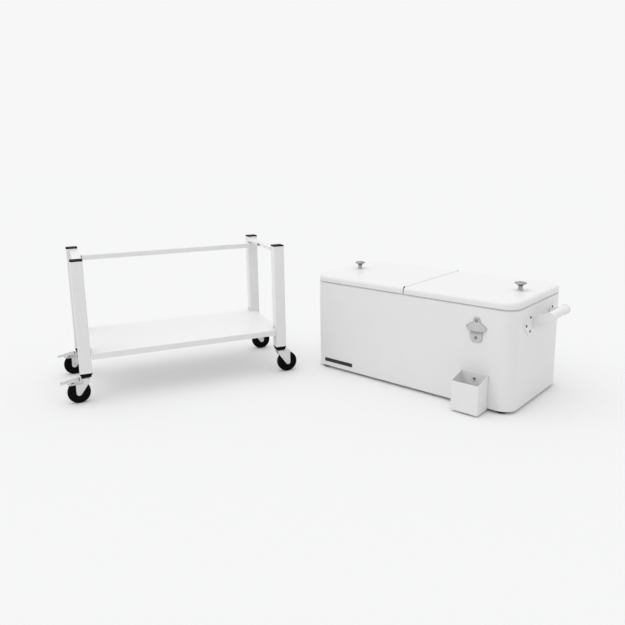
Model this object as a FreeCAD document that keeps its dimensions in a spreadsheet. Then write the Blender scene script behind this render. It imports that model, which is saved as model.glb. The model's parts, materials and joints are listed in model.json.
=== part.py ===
import FreeCAD, Part
import os
import re

import Sketcher
from FreeCAD import Placement, Rotation, Vector

# Patio cooler: an insulated tub with two lids hinged at the middle, standing on its feet beside the
# open four-post cart that carries it. Millimetres, +Z up, the floor at Z = 0. The tub's length runs
# along X and its front faces -Y. The origin is on the floor under the middle of the whole set.

doc = FreeCAD.newDocument("PatioCooler")
sheet = doc.addObject("Spreadsheet::Sheet", "Sizes")
aliases = []
nodes = []
left_and_right = (("left", -1), ("right", 1))
front_and_rear = (("front", -1), ("rear", 1))


def sizes(table):
    """Write a table of named sizes into the sheet, one row each, either a length or a formula."""
    for alias, amount in table.items():
        aliases.append(alias)
        row = len(aliases)
        sheet.set(f"A{row}", alias)
        sheet.set(f"B{row}", str(amount))
        sheet.setAlias(f"B{row}", alias)
    sheet.recompute()


def size(alias):
    return float(sheet.get(alias))


def bind(thing, target, formula):
    """Tie a property to a formula of named sizes."""
    text = re.sub(r"\b(?!cos\b|sin\b)[A-Za-z_]\w*", lambda word: "Sizes." + word.group(0), str(formula))
    thing.setExpression(target, text)


def block(name, x, y, z):
    """A box that reaches from the first to the second place of each pair."""
    solid = doc.addObject("Part::Box", name)
    for side, axis, (low, high) in zip(("Length", "Width", "Height"), "xyz", (x, y, z)):
        bind(solid, side, f"({high}) - ({low})")
        bind(solid, f"Placement.Base.{axis}", f"{low}")
    return solid


def rod(name, radius, x, y, z):
    """A cylinder along the axis that has a pair of places, or a cone where the radius is a pair."""
    places = {"x": x, "y": y, "z": z}
    along = next(axis for axis in places if isinstance(places[axis], tuple))
    turns = {"x": Rotation(Vector(0, 1, 0), 90), "y": Rotation(Vector(1, 0, 0), -90), "z": Rotation()}
    if isinstance(radius, tuple):
        solid = doc.addObject("Part::Cone", name)
        bind(solid, "Radius1", radius[0])
        bind(solid, "Radius2", radius[1])
    else:
        solid = doc.addObject("Part::Cylinder", name)
        bind(solid, "Radius", radius)
    low, high = places[along]
    bind(solid, "Height", f"({high}) - ({low})")
    solid.Placement = Placement(Vector(), turns[along])
    for axis, place in places.items():
        bind(solid, f"Placement.Base.{axis}", low if axis == along else place)
    return solid


def outline(name, points):
    """A body whose sketch is a closed outline, each corner held at two formulas of named sizes."""
    body = doc.addObject("PartDesign::Body", name)
    sketch = body.newObject("Sketcher::SketchObject", name + "_outline")
    plane = next(part for part in body.Origin.OriginFeatures if part.Role == "XY_Plane")
    sketch.AttachmentSupport = (plane, [""])
    sketch.MapMode = "FlatFace"
    count = len(points)
    rough = [Rotation(Vector(0, 0, 1), 360 * i / count).multVec(Vector(count, 0, 0)) for i in range(count)]
    sketch.addGeometry([Part.LineSegment(rough[i], rough[(i + 1) % count]) for i in range(count)], False)
    for i in range(count):
        sketch.addConstraint(Sketcher.Constraint("Coincident", i, 2, (i + 1) % count, 1))
    for i, (across, up) in enumerate(points):
        for kind, place, start in (("DistanceX", across, rough[i].x), ("DistanceY", up, rough[i].y)):
            held = sketch.addConstraint(Sketcher.Constraint(kind, -1, 1, i, 1, start))
            bind(sketch, f"Constraints[{held}]", place)
    return body, sketch


def plate(name, points, x="0", y="0", z="0"):
    """An outline given thickness along the axis that has a pair of places.

    The outline's two axes are X and Y for a plate along Z, X and Z along Y, and Y and Z along X.
    """
    body, sketch = outline(name, points)
    places = {"x": x, "y": y, "z": z}
    along = next(axis for axis in places if isinstance(places[axis], tuple))
    low, high = places[along]
    pad = body.newObject("PartDesign::Pad", name + "_pad")
    pad.Profile = sketch
    bind(pad, "Length", f"({high}) - ({low})")
    turns = {"x": Rotation(Vector(1, 1, 1), 120), "y": Rotation(Vector(1, 0, 0), 90), "z": Rotation()}
    body.Placement = Placement(Vector(), turns[along])
    start = high if along == "y" else low
    for axis, place in places.items():
        bind(body, f"Placement.Base.{axis}", start if axis == along else place)
    return body


def turned(name, points, x, y, z, along="z"):
    """A turned piece from a profile of radius and height pairs, its height along Y or Z."""
    body, sketch = outline(name, points)
    spin = body.newObject("PartDesign::Revolution", name + "_spin")
    spin.Profile = sketch
    spin.ReferenceAxis = (sketch, ["V_Axis"])
    spin.Angle = 360
    body.Placement = Placement(Vector(), Rotation(Vector(1, 0, 0), 90) if along == "z" else Rotation())
    for axis, place in zip("xyz", (x, y, z)):
        bind(body, f"Placement.Base.{axis}", place)
    return body


def joined(name, *pieces):
    fuse = doc.addObject("Part::MultiFuse", name)
    fuse.Shapes = list(pieces)
    fuse.Refine = True
    return fuse


def cut(name, base, *tools):
    result = doc.addObject("Part::Cut", name)
    result.Base = base
    result.Tool = tools[0] if len(tools) == 1 else joined(name + "_tools", *tools)
    return result


def shared(name, first, second):
    common = doc.addObject("Part::Common", name)
    common.Base = first
    common.Tool = second
    return common


def lengthwise(axis):
    """A picker of the straight edges that run along an axis."""
    def pick(edge, solid):
        return len(edge.Vertexes) == 2 and abs(getattr(edge.tangentAt(edge.FirstParameter), axis)) > 0.999
    return pick


upright = lengthwise("z")


def on_top(edge, solid):
    return abs(edge.BoundBox.ZMin - solid.BoundBox.ZMax) < 1e-6


def on_bottom(edge, solid):
    return abs(edge.BoundBox.ZMax - solid.BoundBox.ZMin) < 1e-6


def rounded(name, base, radius, pick):
    """Round the picked edges of a solid."""
    doc.recompute()
    fillet = doc.addObject("Part::Fillet", name)
    fillet.Base = base
    picked = [i for i, edge in enumerate(base.Shape.Edges, 1) if pick(edge, base.Shape)]
    fillet.Edges = [(i, radius, radius) for i in picked]
    return fillet


def node(label, place, *pieces):
    """Name a sub-part and stand it where it belongs. Like fasteners share one sub-part."""
    part = doc.addObject("Part::Compound", label)
    part.Links = list(pieces)
    part.Label = label
    across, along, turn = place
    part.Placement = Placement(Vector(), Rotation(Vector(0, 0, 1), 90))
    bind(part, "Placement.Base.x", across)
    bind(part, "Placement.Base.y", along)
    bind(part, "Placement.Rotation.Angle", turn)
    nodes.append(part)
    return part


# Where the two units stand: the tub square to the axes, the cart turned, as in the photograph.
set_sizes = {
    "tub_place_x": 315.91, "tub_place_y": 422.2, "cart_place_x": -445.09, "cart_place_y": -166.8,
    "cart_turn": 64.3, "overrun": 5,
}
sizes(set_sizes)
tub = ("tub_place_x", "tub_place_y", "0")
cart = ("cart_place_x", "cart_place_y", "cart_turn")

# Tub casing: an outer shell of coated sheet with wide round corners and a rim turned in at the top,
# closed below by a pan. A moulded liner hangs from the rim, and foam fills the space between.
tub_sizes = {
    "tub_length": 810, "tub_depth": 394, "tub_corner": 47, "shell_base": 11, "rim_height": 339,
    "shell_sheet": 0.8, "rim_flange": 24, "wall_thick": 28, "floor_thick": 32, "pan_sheet": 1,
    "pan_rise": 14, "liner_wall": 2, "liner_inset": 3, "cavity_corner": 30, "cavity_cove": 8,
    "gasket_inset": 4, "gasket_width": 8, "gasket_height": 3.7, "seat_gap": 0.3,
}
sizes(tub_sizes)
rim_top = "rim_height + liner_wall"


def tub_slab(name, insets, z):
    """A slab with the tub's rounded plan, drawn in by the named insets."""
    inset = " + ".join(insets) if insets else "0"
    ends = (f"-tub_length / 2 + {inset}", f"tub_length / 2 - ({inset})")
    sides = (f"-tub_depth / 2 + {inset}", f"tub_depth / 2 - ({inset})")
    corner = size("tub_corner") - sum(size(alias) for alias in insets)
    return rounded(name, block(name + "_block", ends, sides, z), corner, upright)


def cavity_block(name, grow, low, high):
    """The liner's basin, grown by its wall for the outside."""
    ends = f"tub_length / 2 - wall_thick + {grow}"
    sides = f"tub_depth / 2 - wall_thick + {grow}"
    raw = block(name + "_block", (f"-({ends})", ends), (f"-({sides})", sides), (low, high))
    extra = 0 if grow == "0" else size(grow)
    corners = rounded(name + "_corners", raw, size("cavity_corner") + extra, upright)
    return rounded(name, corners, size("cavity_cove") + extra, on_bottom)


# Screws, rivets and the drain pass through the shell, so their places come first.
front_sizes = {
    "screw_shank_radius": 2, "screw_head_radius": 4.5, "screw_head_height": 2.6, "opener_inset": 126,
    "opener_x": "=tub_length / 2 - opener_inset", "opener_drop": 114,
    "opener_base": "=rim_height - opener_drop", "opener_height": 82, "opener_width": 78,
    "opener_sheet": 3, "opener_screw_inset": 9, "opener_low_screw_inset": 15, "bin_inset": 125.2,
    "bin_x": "=tub_length / 2 - bin_inset", "bin_screw_height": 103, "handle_centre": 8,
    "handle_span": 142, "flange_length": 62, "flange_height": 72, "flange_drop": 58,
    "flange_middle": "=rim_height - flange_drop", "bracket_sheet": 2.5, "rivet_radius": 2.4,
    "rivet_head_radius": 4.8, "rivet_head_height": 2, "drain_inset": 155,
    "drain_x": "=drain_inset - tub_length / 2", "drain_rise": 21, "drain_pipe_radius": 8,
    "drain_bore_radius": 6.5,
}
sizes(front_sizes)
front_screws = {
    "opener_top": ("opener_x", "opener_base + opener_height - opener_screw_inset"),
    "opener_low": ("opener_x", "opener_base + opener_low_screw_inset"),
    "bin": ("bin_x", "bin_screw_height"),
}
rivet_shares = ((0.32, 0.32), (0.8, 0), (0.32, -0.32))
drain_height = "shell_base + floor_thick + drain_rise"


def front_rod(name, radius, place, low, high):
    """A rod through the front wall, its depth counted outward from the shell's face."""
    return rod(name, radius, place[0], (f"-tub_depth / 2 - ({high})", f"-tub_depth / 2 - ({low})"), place[1])


def rivet_rods(name, radius, low, high):
    """One rod for each handle rivet, its depth counted outward from the end wall."""
    rods = []
    for side, s in left_and_right:
        for end, e in front_and_rear:
            for i, (along, up) in enumerate(rivet_shares):
                far = (f"tub_length / 2 + {low}", f"tub_length / 2 + {high}")
                x = far if s > 0 else (f"-({far[1]})", f"-({far[0]})")
                y = f"handle_centre + {e} * (handle_span / 2 + {along} * flange_length)"
                z = f"flange_middle + {up} * flange_height"
                rods.append(rod(f"{name}_{side}_{end}_{i}", radius, x, y, z))
    return rods


drain_y = "tub_depth / 2"
shell_holes = [
    front_rod(f"{name}_shell_hole", "screw_shank_radius", place, "-shell_sheet - overrun", "overrun")
    for name, place in front_screws.items()
]
shell_holes += rivet_rods("rivet_hole", "rivet_radius", "-shell_sheet - overrun", "overrun")
shell_holes.append(rod(
    "drain_shell_hole", "drain_pipe_radius", "drain_x",
    (f"{drain_y} - shell_sheet - overrun", f"{drain_y} + overrun"), drain_height,
))

# The centre bar's screws go down through the liner's flange and the shell's rim.
bar_sizes = {
    "bar_width": 40, "bar_sheet": 1.5, "bar_drop": 11, "bar_clear": 1, "bar_screw_x": 12,
    "bar_screw_inset": 7, "bar_screw_radius": 1.8, "bar_screw_head_radius": 3.6,
    "bar_screw_head_height": 1.9,
}
sizes(bar_sizes)
bar_reach = "tub_depth / 2 - gasket_inset - gasket_width - bar_clear"


def bar_screw_rods(name, radius, low, high):
    rods = []
    for side, s in left_and_right:
        for end, e in front_and_rear:
            x = f"{s} * bar_screw_x"
            y = f"{e} * ({bar_reach} - bar_screw_inset)"
            rods.append(rod(f"{name}_{side}_{end}", radius, x, y, (low, high)))
    return rods


shell_holes += bar_screw_rods(
    "rim_hole", "bar_screw_radius", "rim_height - shell_sheet - overrun", "rim_height + overrun",
)
shell = cut(
    "shell_body",
    tub_slab("shell_outside", (), ("shell_base", "rim_height")),
    tub_slab("shell_inside", ("shell_sheet",), ("shell_base - overrun", "rim_height - shell_sheet")),
    tub_slab("shell_mouth", ("rim_flange",), ("shell_base - overrun", "rim_height + overrun")),
    *shell_holes,
)
node("tub_shell", tub, shell)

pan = cut(
    "pan_body",
    tub_slab("pan_outside", ("shell_sheet",), ("shell_base", "shell_base + pan_rise")),
    tub_slab(
        "pan_inside", ("shell_sheet", "pan_sheet"),
        ("shell_base + pan_sheet", "shell_base + pan_rise + overrun"),
    ),
)
liner_outside = joined(
    "liner_outside",
    cavity_block("basin_outside", "liner_wall", "shell_base + floor_thick - liner_wall", rim_top),
    tub_slab("liner_flange", ("liner_inset",), ("rim_height", rim_top)),
)
basin = cavity_block("basin_inside", "0", "shell_base + floor_thick", f"{rim_top} + overrun")
drain_hole = rod(
    "drain_wall_hole", "drain_pipe_radius", "drain_x",
    (f"{drain_y} - wall_thick - overrun", f"{drain_y} + overrun"), drain_height,
)
liner = cut(
    "liner_body", liner_outside, basin, drain_hole,
    *bar_screw_rods("flange_hole", "bar_screw_radius", "rim_height - overrun", f"{rim_top} + overrun"),
)
foam = cut(
    "foam_body",
    tub_slab("foam_block", ("shell_sheet",), ("shell_base + pan_sheet", "rim_height - shell_sheet")),
    pan, liner_outside, drain_hole,
)
node("foam_core", tub, foam)
node("tub_liner", tub, liner)
gasket = cut(
    "gasket_body",
    tub_slab("gasket_outside", ("gasket_inset",), (rim_top, f"{rim_top} + gasket_height")),
    tub_slab(
        "gasket_inside", ("gasket_inset", "gasket_width"),
        (f"{rim_top} - overrun", f"{rim_top} + gasket_height + overrun"),
    ),
)
node("rim_gasket", tub, gasket)

# Feet: four rubber pucks, each held by a screw sunk in it. The screws pass through the pan.
foot_sizes = {
    "foot_radius": 20, "foot_inset_x": 43, "foot_inset_y": 31, "foot_chamfer": 2.5,
    "foot_screw_radius": 2.5, "foot_screw_head_radius": 5, "foot_screw_head_height": 3,
    "foot_screw_sink": 3,
}
sizes(foot_sizes)
foot_bodies = []
foot_screws = []
pan_holes = []
for side, s in left_and_right:
    for end, e in front_and_rear:
        spot = f"{side}_{end}"
        x = f"{s} * (tub_length / 2 - foot_inset_x)"
        y = f"{e} * (tub_depth / 2 - foot_inset_y)"
        profile = (
            ("foot_screw_head_radius", "0"), ("foot_radius - foot_chamfer", "0"),
            ("foot_radius", "foot_chamfer"), ("foot_radius", "shell_base"), ("foot_screw_radius", "shell_base"),
            ("foot_screw_radius", "foot_screw_sink + foot_screw_head_height"),
            ("foot_screw_head_radius", "foot_screw_sink + foot_screw_head_height"),
        )
        foot_bodies.append(turned(f"foot_{spot}", profile, x, y, "0"))
        screw_seat = "foot_screw_sink + foot_screw_head_height"
        foot_screws.append(joined(
            f"foot_screw_{spot}",
            rod(f"foot_screw_head_{spot}", "foot_screw_head_radius", x, y, ("foot_screw_sink", screw_seat)),
            rod(f"foot_screw_shank_{spot}", "foot_screw_radius", x, y, (screw_seat, "shell_base + pan_sheet")),
        ))
        pan_holes.append(rod(
            f"pan_hole_{spot}", "foot_screw_radius", x, y,
            ("shell_base - overrun", "shell_base + pan_sheet + overrun"),
        ))
node("tub_feet", tub, *foot_bodies)
node("foot_screws", tub, *foot_screws)
node("base_pan", tub, cut("pan_drilled", pan, *pan_holes))

# Centre bar: a channel across the mouth that carries the hinge and that both lids close on.
bar_top = f"{rim_top} + bar_sheet"
bar_side = "tub_depth / 2 - wall_thick - bar_clear"
bar_plan = (("-bar_width / 2", "bar_width / 2"), (f"-({bar_reach})", bar_reach))
bar_pieces = [block("bar_plate", *bar_plan, (rim_top, bar_top))]
for side, s in left_and_right:
    leg = ("bar_width / 2 - bar_sheet", "bar_width / 2")
    x = leg if s > 0 else (f"-({leg[1]})", f"-({leg[0]})")
    leg_z = (f"{rim_top} - bar_drop", bar_top)
    bar_pieces.append(block(f"bar_leg_{side}", x, (f"-({bar_side})", bar_side), leg_z))
hinge_bar = cut(
    "hinge_bar_body", joined("hinge_bar_channel", *bar_pieces),
    *bar_screw_rods("bar_hole", "bar_screw_radius", f"{rim_top} - overrun", f"{bar_top} + overrun"),
)
node("hinge_bar", tub, hinge_bar)
bar_head_top = f"{bar_top} + bar_screw_head_height"
bar_heads = bar_screw_rods("bar_screw_head", "bar_screw_head_radius", bar_top, bar_head_top)
bar_shanks = bar_screw_rods("bar_screw_shank", "bar_screw_radius", "rim_height - shell_sheet", bar_top)
bar_screws = [joined(f"bar_screw_{i}", *pair) for i, pair in enumerate(zip(bar_heads, bar_shanks))]
node("hinge_bar_screws", tub, *bar_screws)

# Lid hinge: three leaves on one pin, the fixed leaf standing between the lids and one leaf on the end
# face of each lid. The pin lies level with the lids' tops, so both can stand up at once.
lid_sizes = {
    "lid_height": 23, "lid_gap": 5.4, "lid_sheet": 0.8, "lid_edge": 11, "hinge_inset": 9,
    "hinge_reach": "=tub_depth / 2 - hinge_inset", "knuckle_radius": 2.5, "knuckle_gap": 0.4,
    "pin_radius": 1.3, "pin_fit": 0.05, "pin_head_radius": 2.4, "pin_head_length": 1.6, "leaf_sheet": 1.2,
    "leaf_inset": 2, "fixed_leaf_flange": 30, "flange_clear": 16,
}
sizes(lid_sizes)
lid_base = f"{rim_top} + gasket_height + seat_gap"
lid_top = f"{lid_base} + lid_height"
knuckle_count = 13
knuckle_pitch = f"2 * hinge_reach / {knuckle_count}"
leaf_top = f"{lid_top} - knuckle_radius - knuckle_gap"


def hinge_leaf(name, first, leaf, root):
    """Every third knuckle from the first one, tied down to the leaf by a tab, all bored for the pin."""
    pieces = [leaf]
    for i in range(first, knuckle_count, 3):
        low = f"-hinge_reach + {i} * {knuckle_pitch} + knuckle_gap / 2"
        high = f"-hinge_reach + {i + 1} * {knuckle_pitch} - knuckle_gap / 2"
        pieces.append(rod(f"{name}_knuckle_{i}", "knuckle_radius", "0", (low, high), lid_top))
        pieces.append(block(f"{name}_tab_{i}", root, (low, high), (f"{leaf_top} - knuckle_gap", lid_top)))
    through = ("-hinge_reach - overrun", "hinge_reach + overrun")
    bore = rod(f"{name}_bore", "pin_radius + pin_fit", "0", through, lid_top)
    return cut(name + "_body", joined(name + "_whole", *pieces), bore)


hinge_length = ("-hinge_reach", "hinge_reach")
web = ("-leaf_sheet / 2", "leaf_sheet / 2")
flange_reach = f"{bar_reach} - flange_clear"
fixed_leaf = joined(
    "fixed_leaf_tee",
    block("fixed_leaf_web", web, hinge_length, (lid_base, leaf_top)),
    block("fixed_leaf_root", web, (f"-({bar_reach})", bar_reach), (f"{bar_top} + leaf_sheet", lid_base)),
    block(
        "fixed_leaf_flange_plate", ("-fixed_leaf_flange / 2", "fixed_leaf_flange / 2"),
        (f"-({flange_reach})", flange_reach), (bar_top, f"{bar_top} + leaf_sheet"),
    ),
)
node("hinge_fixed_leaf", tub, hinge_leaf("hinge_fixed_leaf", 0, fixed_leaf, web))
pin_length = ("-hinge_reach - pin_head_length", "hinge_reach + pin_head_length")
pin = [rod("pin_rod", "pin_radius", "0", pin_length, lid_top)]
for end, e in front_and_rear:
    reach = ("hinge_reach", "hinge_reach + pin_head_length")
    y = reach if e > 0 else (f"-({reach[1]})", f"-({reach[0]})")
    pin.append(rod(f"pin_head_{end}", "pin_head_radius", "0", y, lid_top))
node("hinge_pin", tub, joined("hinge_pin_body", *pin))

# Lids: each a coated sheet shell with a softly rounded top edge, foam inside, a moulded inner panel
# below, its hinge leaf, and a turned chrome knob near the outer end.
knob_sizes = {
    "panel_thick": 3, "panel_recess": 1, "panel_border": 35, "knob_inset": 71,
    "knob_x": "=tub_length / 2 - knob_inset", "knob_radius": 20.5, "knob_height": 28,
    "knob_stud_radius": 3, "knob_stud_length": 12, "knob_washer_radius": 7,
    "knob_washer_height": 2,
}
sizes(knob_sizes)
lid_cut_z = (f"{lid_base} - overrun", f"{lid_top} + overrun")
lid_cut_y = ("-tub_depth / 2 - overrun", "tub_depth / 2 + overrun")
knob_shares = (
    (0.4, 0), (0.36, 0.12), (0.36, 0.34), (0.48, 0.5), (0.72, 0.62), (0.97, 0.7), (1, 0.76), (1, 0.85),
    (0.9, 0.93), (0.6, 0.98), (0, 1),
)
for number, (side, s) in enumerate(left_and_right):
    far = ("lid_gap / 2", "tub_length / 2 + overrun")
    far_inside = ("lid_gap / 2 + lid_sheet", "tub_length / 2 + overrun")
    if s < 0:
        far, far_inside = [(f"-({b})", f"-({a})") for a, b in (far, far_inside)]
    outside = rounded(
        f"lid_{side}_outside", tub_slab(f"lid_{side}_slab", (), (lid_base, lid_top)), size("lid_edge"), on_top,
    )
    hollow_slab = tub_slab(f"lid_{side}_hollow", ("lid_sheet",), (lid_base, f"{lid_top} - lid_sheet"))
    inside = rounded(f"lid_{side}_inside", hollow_slab, size("lid_edge") - size("lid_sheet"), on_top)
    half = shared(f"lid_{side}_half", outside, block(f"lid_{side}_cutter", far, lid_cut_y, lid_cut_z))
    fill_cutter = block(f"lid_{side}_fill_cutter", far_inside, lid_cut_y, lid_cut_z)
    fill = shared(f"lid_{side}_fill", inside, fill_cutter)
    knob_x = f"{s} * knob_x"
    stud_bottom = f"{lid_top} - knob_stud_length"
    stud_hole_z = (stud_bottom, f"{lid_top} + overrun")
    stud_hole = rod(f"stud_hole_{side}", "knob_stud_radius", knob_x, "0", stud_hole_z)
    node(f"lid_shell_{side}", tub, cut(f"lid_shell_{side}_body", half, fill, stud_hole))
    panel_z = (f"{lid_base} - overrun", f"{lid_base} + panel_thick")
    panel_block = block(f"panel_{side}_block", far_inside, lid_cut_y, panel_z)
    recess_x = ("lid_gap / 2 + panel_border", "tub_length / 2 - panel_border")
    recess = block(
        f"panel_{side}_recess", recess_x if s > 0 else (f"-({recess_x[1]})", f"-({recess_x[0]})"),
        ("-tub_depth / 2 + panel_border", "tub_depth / 2 - panel_border"),
        (f"{lid_base} - overrun", f"{lid_base} + panel_recess"),
    )
    panel = shared(f"panel_{side}_plate", fill, panel_block)
    node(f"lid_panel_{side}", tub, cut(f"lid_panel_{side}_body", panel, recess))
    washer = rod(
        f"stud_washer_{side}", "knob_washer_radius", knob_x, "0",
        (f"{lid_top} - lid_sheet - knob_washer_height", f"{lid_top} - lid_sheet"),
    )
    node(f"lid_foam_{side}", tub, cut(f"lid_foam_{side}_body", fill, panel, stud_hole, washer))
    leaf_x = ("lid_gap / 2 - leaf_sheet", "lid_gap / 2")
    if s < 0:
        leaf_x = (f"-({leaf_x[1]})", f"-({leaf_x[0]})")
    lid_leaf = block(f"hinge_leaf_{side}_plate", leaf_x, hinge_length, (f"{lid_base} + leaf_inset", leaf_top))
    node(f"hinge_leaf_{side}", tub, hinge_leaf(f"hinge_leaf_{side}", number + 1, lid_leaf, leaf_x))
    profile = [("0", "0")]
    profile += [(f"{across} * knob_radius", f"{up} * knob_height") for across, up in knob_shares]
    knob = joined(
        f"knob_{side}_body",
        turned(f"knob_{side}_top", profile, knob_x, "0", lid_top),
        rod(f"knob_{side}_stud", "knob_stud_radius", knob_x, "0", (stud_bottom, lid_top)),
        washer,
    )
    node(f"lid_knob_{side}", tub, knob)

# Front face: a bare dark badge plate, a cast bottle opener and the cap bin that hangs below it.
opener_sizes = {
    "badge_inset": 115, "badge_x": "=badge_inset - tub_length / 2", "badge_height": 35,
    "badge_length": 133, "badge_width": 14, "badge_thick": 1.2, "hood_height": 25.5, "hood_rise": 39,
    "hood_base": "=opener_base + hood_rise", "hood_lip_radius": 73.8, "hood_top_radius": 63.4,
    "hood_sink": 58.4, "tongue_width": 18, "tongue_reach": 7, "tongue_rise": 45,
    "tongue_height": "=opener_base + tongue_rise",
}
sizes(opener_sizes)
node("badge_plate", tub, block(
    "badge_body", ("badge_x - badge_length / 2", "badge_x + badge_length / 2"),
    ("-tub_depth / 2 - badge_thick", "-tub_depth / 2"),
    ("badge_height - badge_width / 2", "badge_height + badge_width / 2"),
))
opener_shares = (
    (0.3, 0), (0.46, 0.07), (0.54, 0.19), (0.54, 0.4), (0.57, 0.51), (0.62, 0.71), (0.3, 0.78),
    (0.3, 0.93), (0.15, 1),
)
hood_shares = ((0.62, 0), (1, 0.42), (0.64, 0.8), (0.26, 1))


def both_halves(shares, base, height):
    """An upright outline from the shares of its right half, which the left half mirrors."""
    whole = list(shares) + [(-across, up) for across, up in reversed(shares)]
    return [(f"{across} * opener_width / 2", f"{base} + {up} * {height}") for across, up in whole]


opener_plate = plate(
    "opener_plate", both_halves(opener_shares, "opener_base", "opener_height"), "opener_x",
    ("-tub_depth / 2 - opener_sheet", "-tub_depth / 2"),
)
hood_y = "-tub_depth / 2 + hood_sink"
hood_z = ("hood_base", "hood_base + hood_height")
hood_ring = cut(
    "hood_ring",
    rod("hood_outside", ("hood_lip_radius", "hood_top_radius"), "opener_x", hood_y, hood_z),
    rod(
        "hood_inside", ("hood_lip_radius - opener_sheet", "hood_top_radius - opener_sheet"),
        "opener_x", hood_y, ("hood_base - opener_sheet", "hood_base + hood_height - opener_sheet"),
    ),
)
hood = shared("opener_hood", hood_ring, plate(
    "hood_front", both_halves(hood_shares, "hood_base", "hood_height"), "opener_x",
    (f"{hood_y} - hood_lip_radius - overrun", "-tub_depth / 2"),
))
tongue = block(
    "opener_tongue", ("opener_x - tongue_width / 2", "opener_x + tongue_width / 2"),
    ("-tub_depth / 2 - tongue_reach", "-tub_depth / 2"), ("tongue_height", "tongue_height + opener_sheet"),
)
opener_holes = [
    front_rod(f"{name}_hole", "screw_shank_radius", front_screws[name], "-overrun", "opener_sheet + overrun")
    for name in ("opener_top", "opener_low")
]
node("bottle_opener", tub, cut(
    "opener_body", joined("opener_whole", opener_plate, hood, tongue), *opener_holes,
))
screws = []
for name, place in front_screws.items():
    screws.append(joined(
        f"{name}_screw",
        front_rod(f"{name}_screw_shank", "screw_shank_radius", place, "-shell_sheet", "opener_sheet"),
        front_rod(
            f"{name}_screw_head", "screw_head_radius", place,
            "opener_sheet", "opener_sheet + screw_head_height",
        ),
    ))
node("front_screws", tub, *screws)

# Cap bin: a folded sheet box, open at the top, its rim lower at the front. A keyhole in its back
# hangs it on a screw: it lifts until the screw's head meets the wide end of the keyhole.
bin_sizes = {
    "bin_width": 95, "bin_reach": 70, "bin_base": 6, "bin_back_height": 118, "bin_front_height": 99,
    "bin_sheet": 1.5, "bin_lift": 12, "keyhole_clear": 0.3,
}
sizes(bin_sizes)
bin_back = "-tub_depth / 2 - seat_gap"
bin_front = f"{bin_back} - bin_reach"
bin_outline = (
    (bin_back, "bin_base"), (bin_front, "bin_base"),
    (bin_front, "bin_base + bin_front_height"), (bin_back, "bin_base + bin_back_height"),
)
bin_hollow = (
    (f"{bin_back} - bin_sheet", "bin_base + bin_sheet"), (f"{bin_front} + bin_sheet", "bin_base + bin_sheet"),
    (f"{bin_front} + bin_sheet", "bin_base + bin_back_height + overrun"),
    (f"{bin_back} - bin_sheet", "bin_base + bin_back_height + overrun"),
)
slot = "screw_shank_radius + keyhole_clear"
through_back = (f"{bin_back} - bin_sheet - overrun", f"{bin_back} + overrun")
cap_bin = cut(
    "cap_bin_body",
    plate("bin_outside", bin_outline, ("bin_x - bin_width / 2", "bin_x + bin_width / 2")),
    plate(
        "bin_inside", bin_hollow,
        ("bin_x - bin_width / 2 + bin_sheet", "bin_x + bin_width / 2 - bin_sheet"),
    ),
    rod("keyhole_top", slot, "bin_x", through_back, "bin_screw_height"),
    rod(
        "keyhole_wide", "screw_head_radius + keyhole_clear", "bin_x", through_back,
        "bin_screw_height - bin_lift",
    ),
    block(
        "keyhole_slot", (f"bin_x - ({slot})", f"bin_x + {slot}"), through_back,
        ("bin_screw_height - bin_lift", "bin_screw_height"),
    ),
)
node("cap_bin", tub, cap_bin)

# Handles: on each end wall two bent brackets, riveted on, reach out and up to a round grip.
handle_sizes = {
    "grip_reach": 53.5, "grip_drop": 32, "grip_height": "=rim_height - grip_drop", "grip_radius": 15,
    "grip_wall": 1.5, "arm_rim": 1.5,
}
sizes(handle_sizes)
flange_shares = (
    (0, -0.24), (0.2, -0.5), (0.48, -0.5), (1, -0.12), (1, 0.12), (0.48, 0.5), (0.2, 0.5), (0, 0.24),
)
arm_shares = ((0, -0.55), (0.6, -0.28), (1.15, 0.45), (1.25, 0.85), (1, 1.3), (0.7, 1.2), (0, 0.85))
rivet_holes = rivet_rods("flange_hole_rivet", "rivet_radius", "-overrun", "bracket_sheet + overrun")
grip_x = "tub_length / 2 + grip_reach"
for side, s in left_and_right:
    for end, e in front_and_rear:
        name = f"bracket_{side}_{end}"
        thick = ("tub_length / 2", "tub_length / 2 + bracket_sheet")
        arm_inner = "(handle_span / 2 - bracket_sheet)"
        flange_points = [
            (f"handle_centre + {e} * ({arm_inner} + {along} * (flange_length + bracket_sheet))",
             f"flange_middle + {up} * flange_height")
            for along, up in flange_shares
        ]
        arm_points = [
            (f"{s} * (tub_length / 2 + {out} * grip_reach)",
             f"flange_middle + {up} * (grip_height - flange_middle)")
            for out, up in arm_shares
        ]
        arm = [f"handle_centre + {e} * {arm_inner}", f"handle_centre + {e} * handle_span / 2"]
        arm_y = tuple(arm if e > 0 else arm[::-1])
        whole = joined(
            f"{name}_whole",
            plate(f"{name}_flange", flange_points, thick if s > 0 else (f"-({thick[1]})", f"-({thick[0]})")),
            plate(f"{name}_arm", arm_points, y=arm_y),
            rod(f"{name}_eye", "grip_radius + arm_rim", f"{s} * ({grip_x})", arm_y, "grip_height"),
        )
        holes = [hole for hole in rivet_holes if f"_{side}_{end}_" in hole.Name]
        node(f"handle_{name}", tub, cut(f"{name}_body", whole, *holes))
    grip_y = (
        "handle_centre - (handle_span / 2 - bracket_sheet)",
        "handle_centre + (handle_span / 2 - bracket_sheet)",
    )
    node(f"handle_grip_{side}", tub, cut(
        f"grip_{side}_tube",
        rod(f"grip_{side}_outside", "grip_radius", f"{s} * ({grip_x})", grip_y, "grip_height"),
        rod(f"grip_{side}_bore", "grip_radius - grip_wall", f"{s} * ({grip_x})", grip_y, "grip_height"),
    ))
shanks = rivet_rods("rivet_shank", "rivet_radius", "-shell_sheet", "bracket_sheet")
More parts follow.
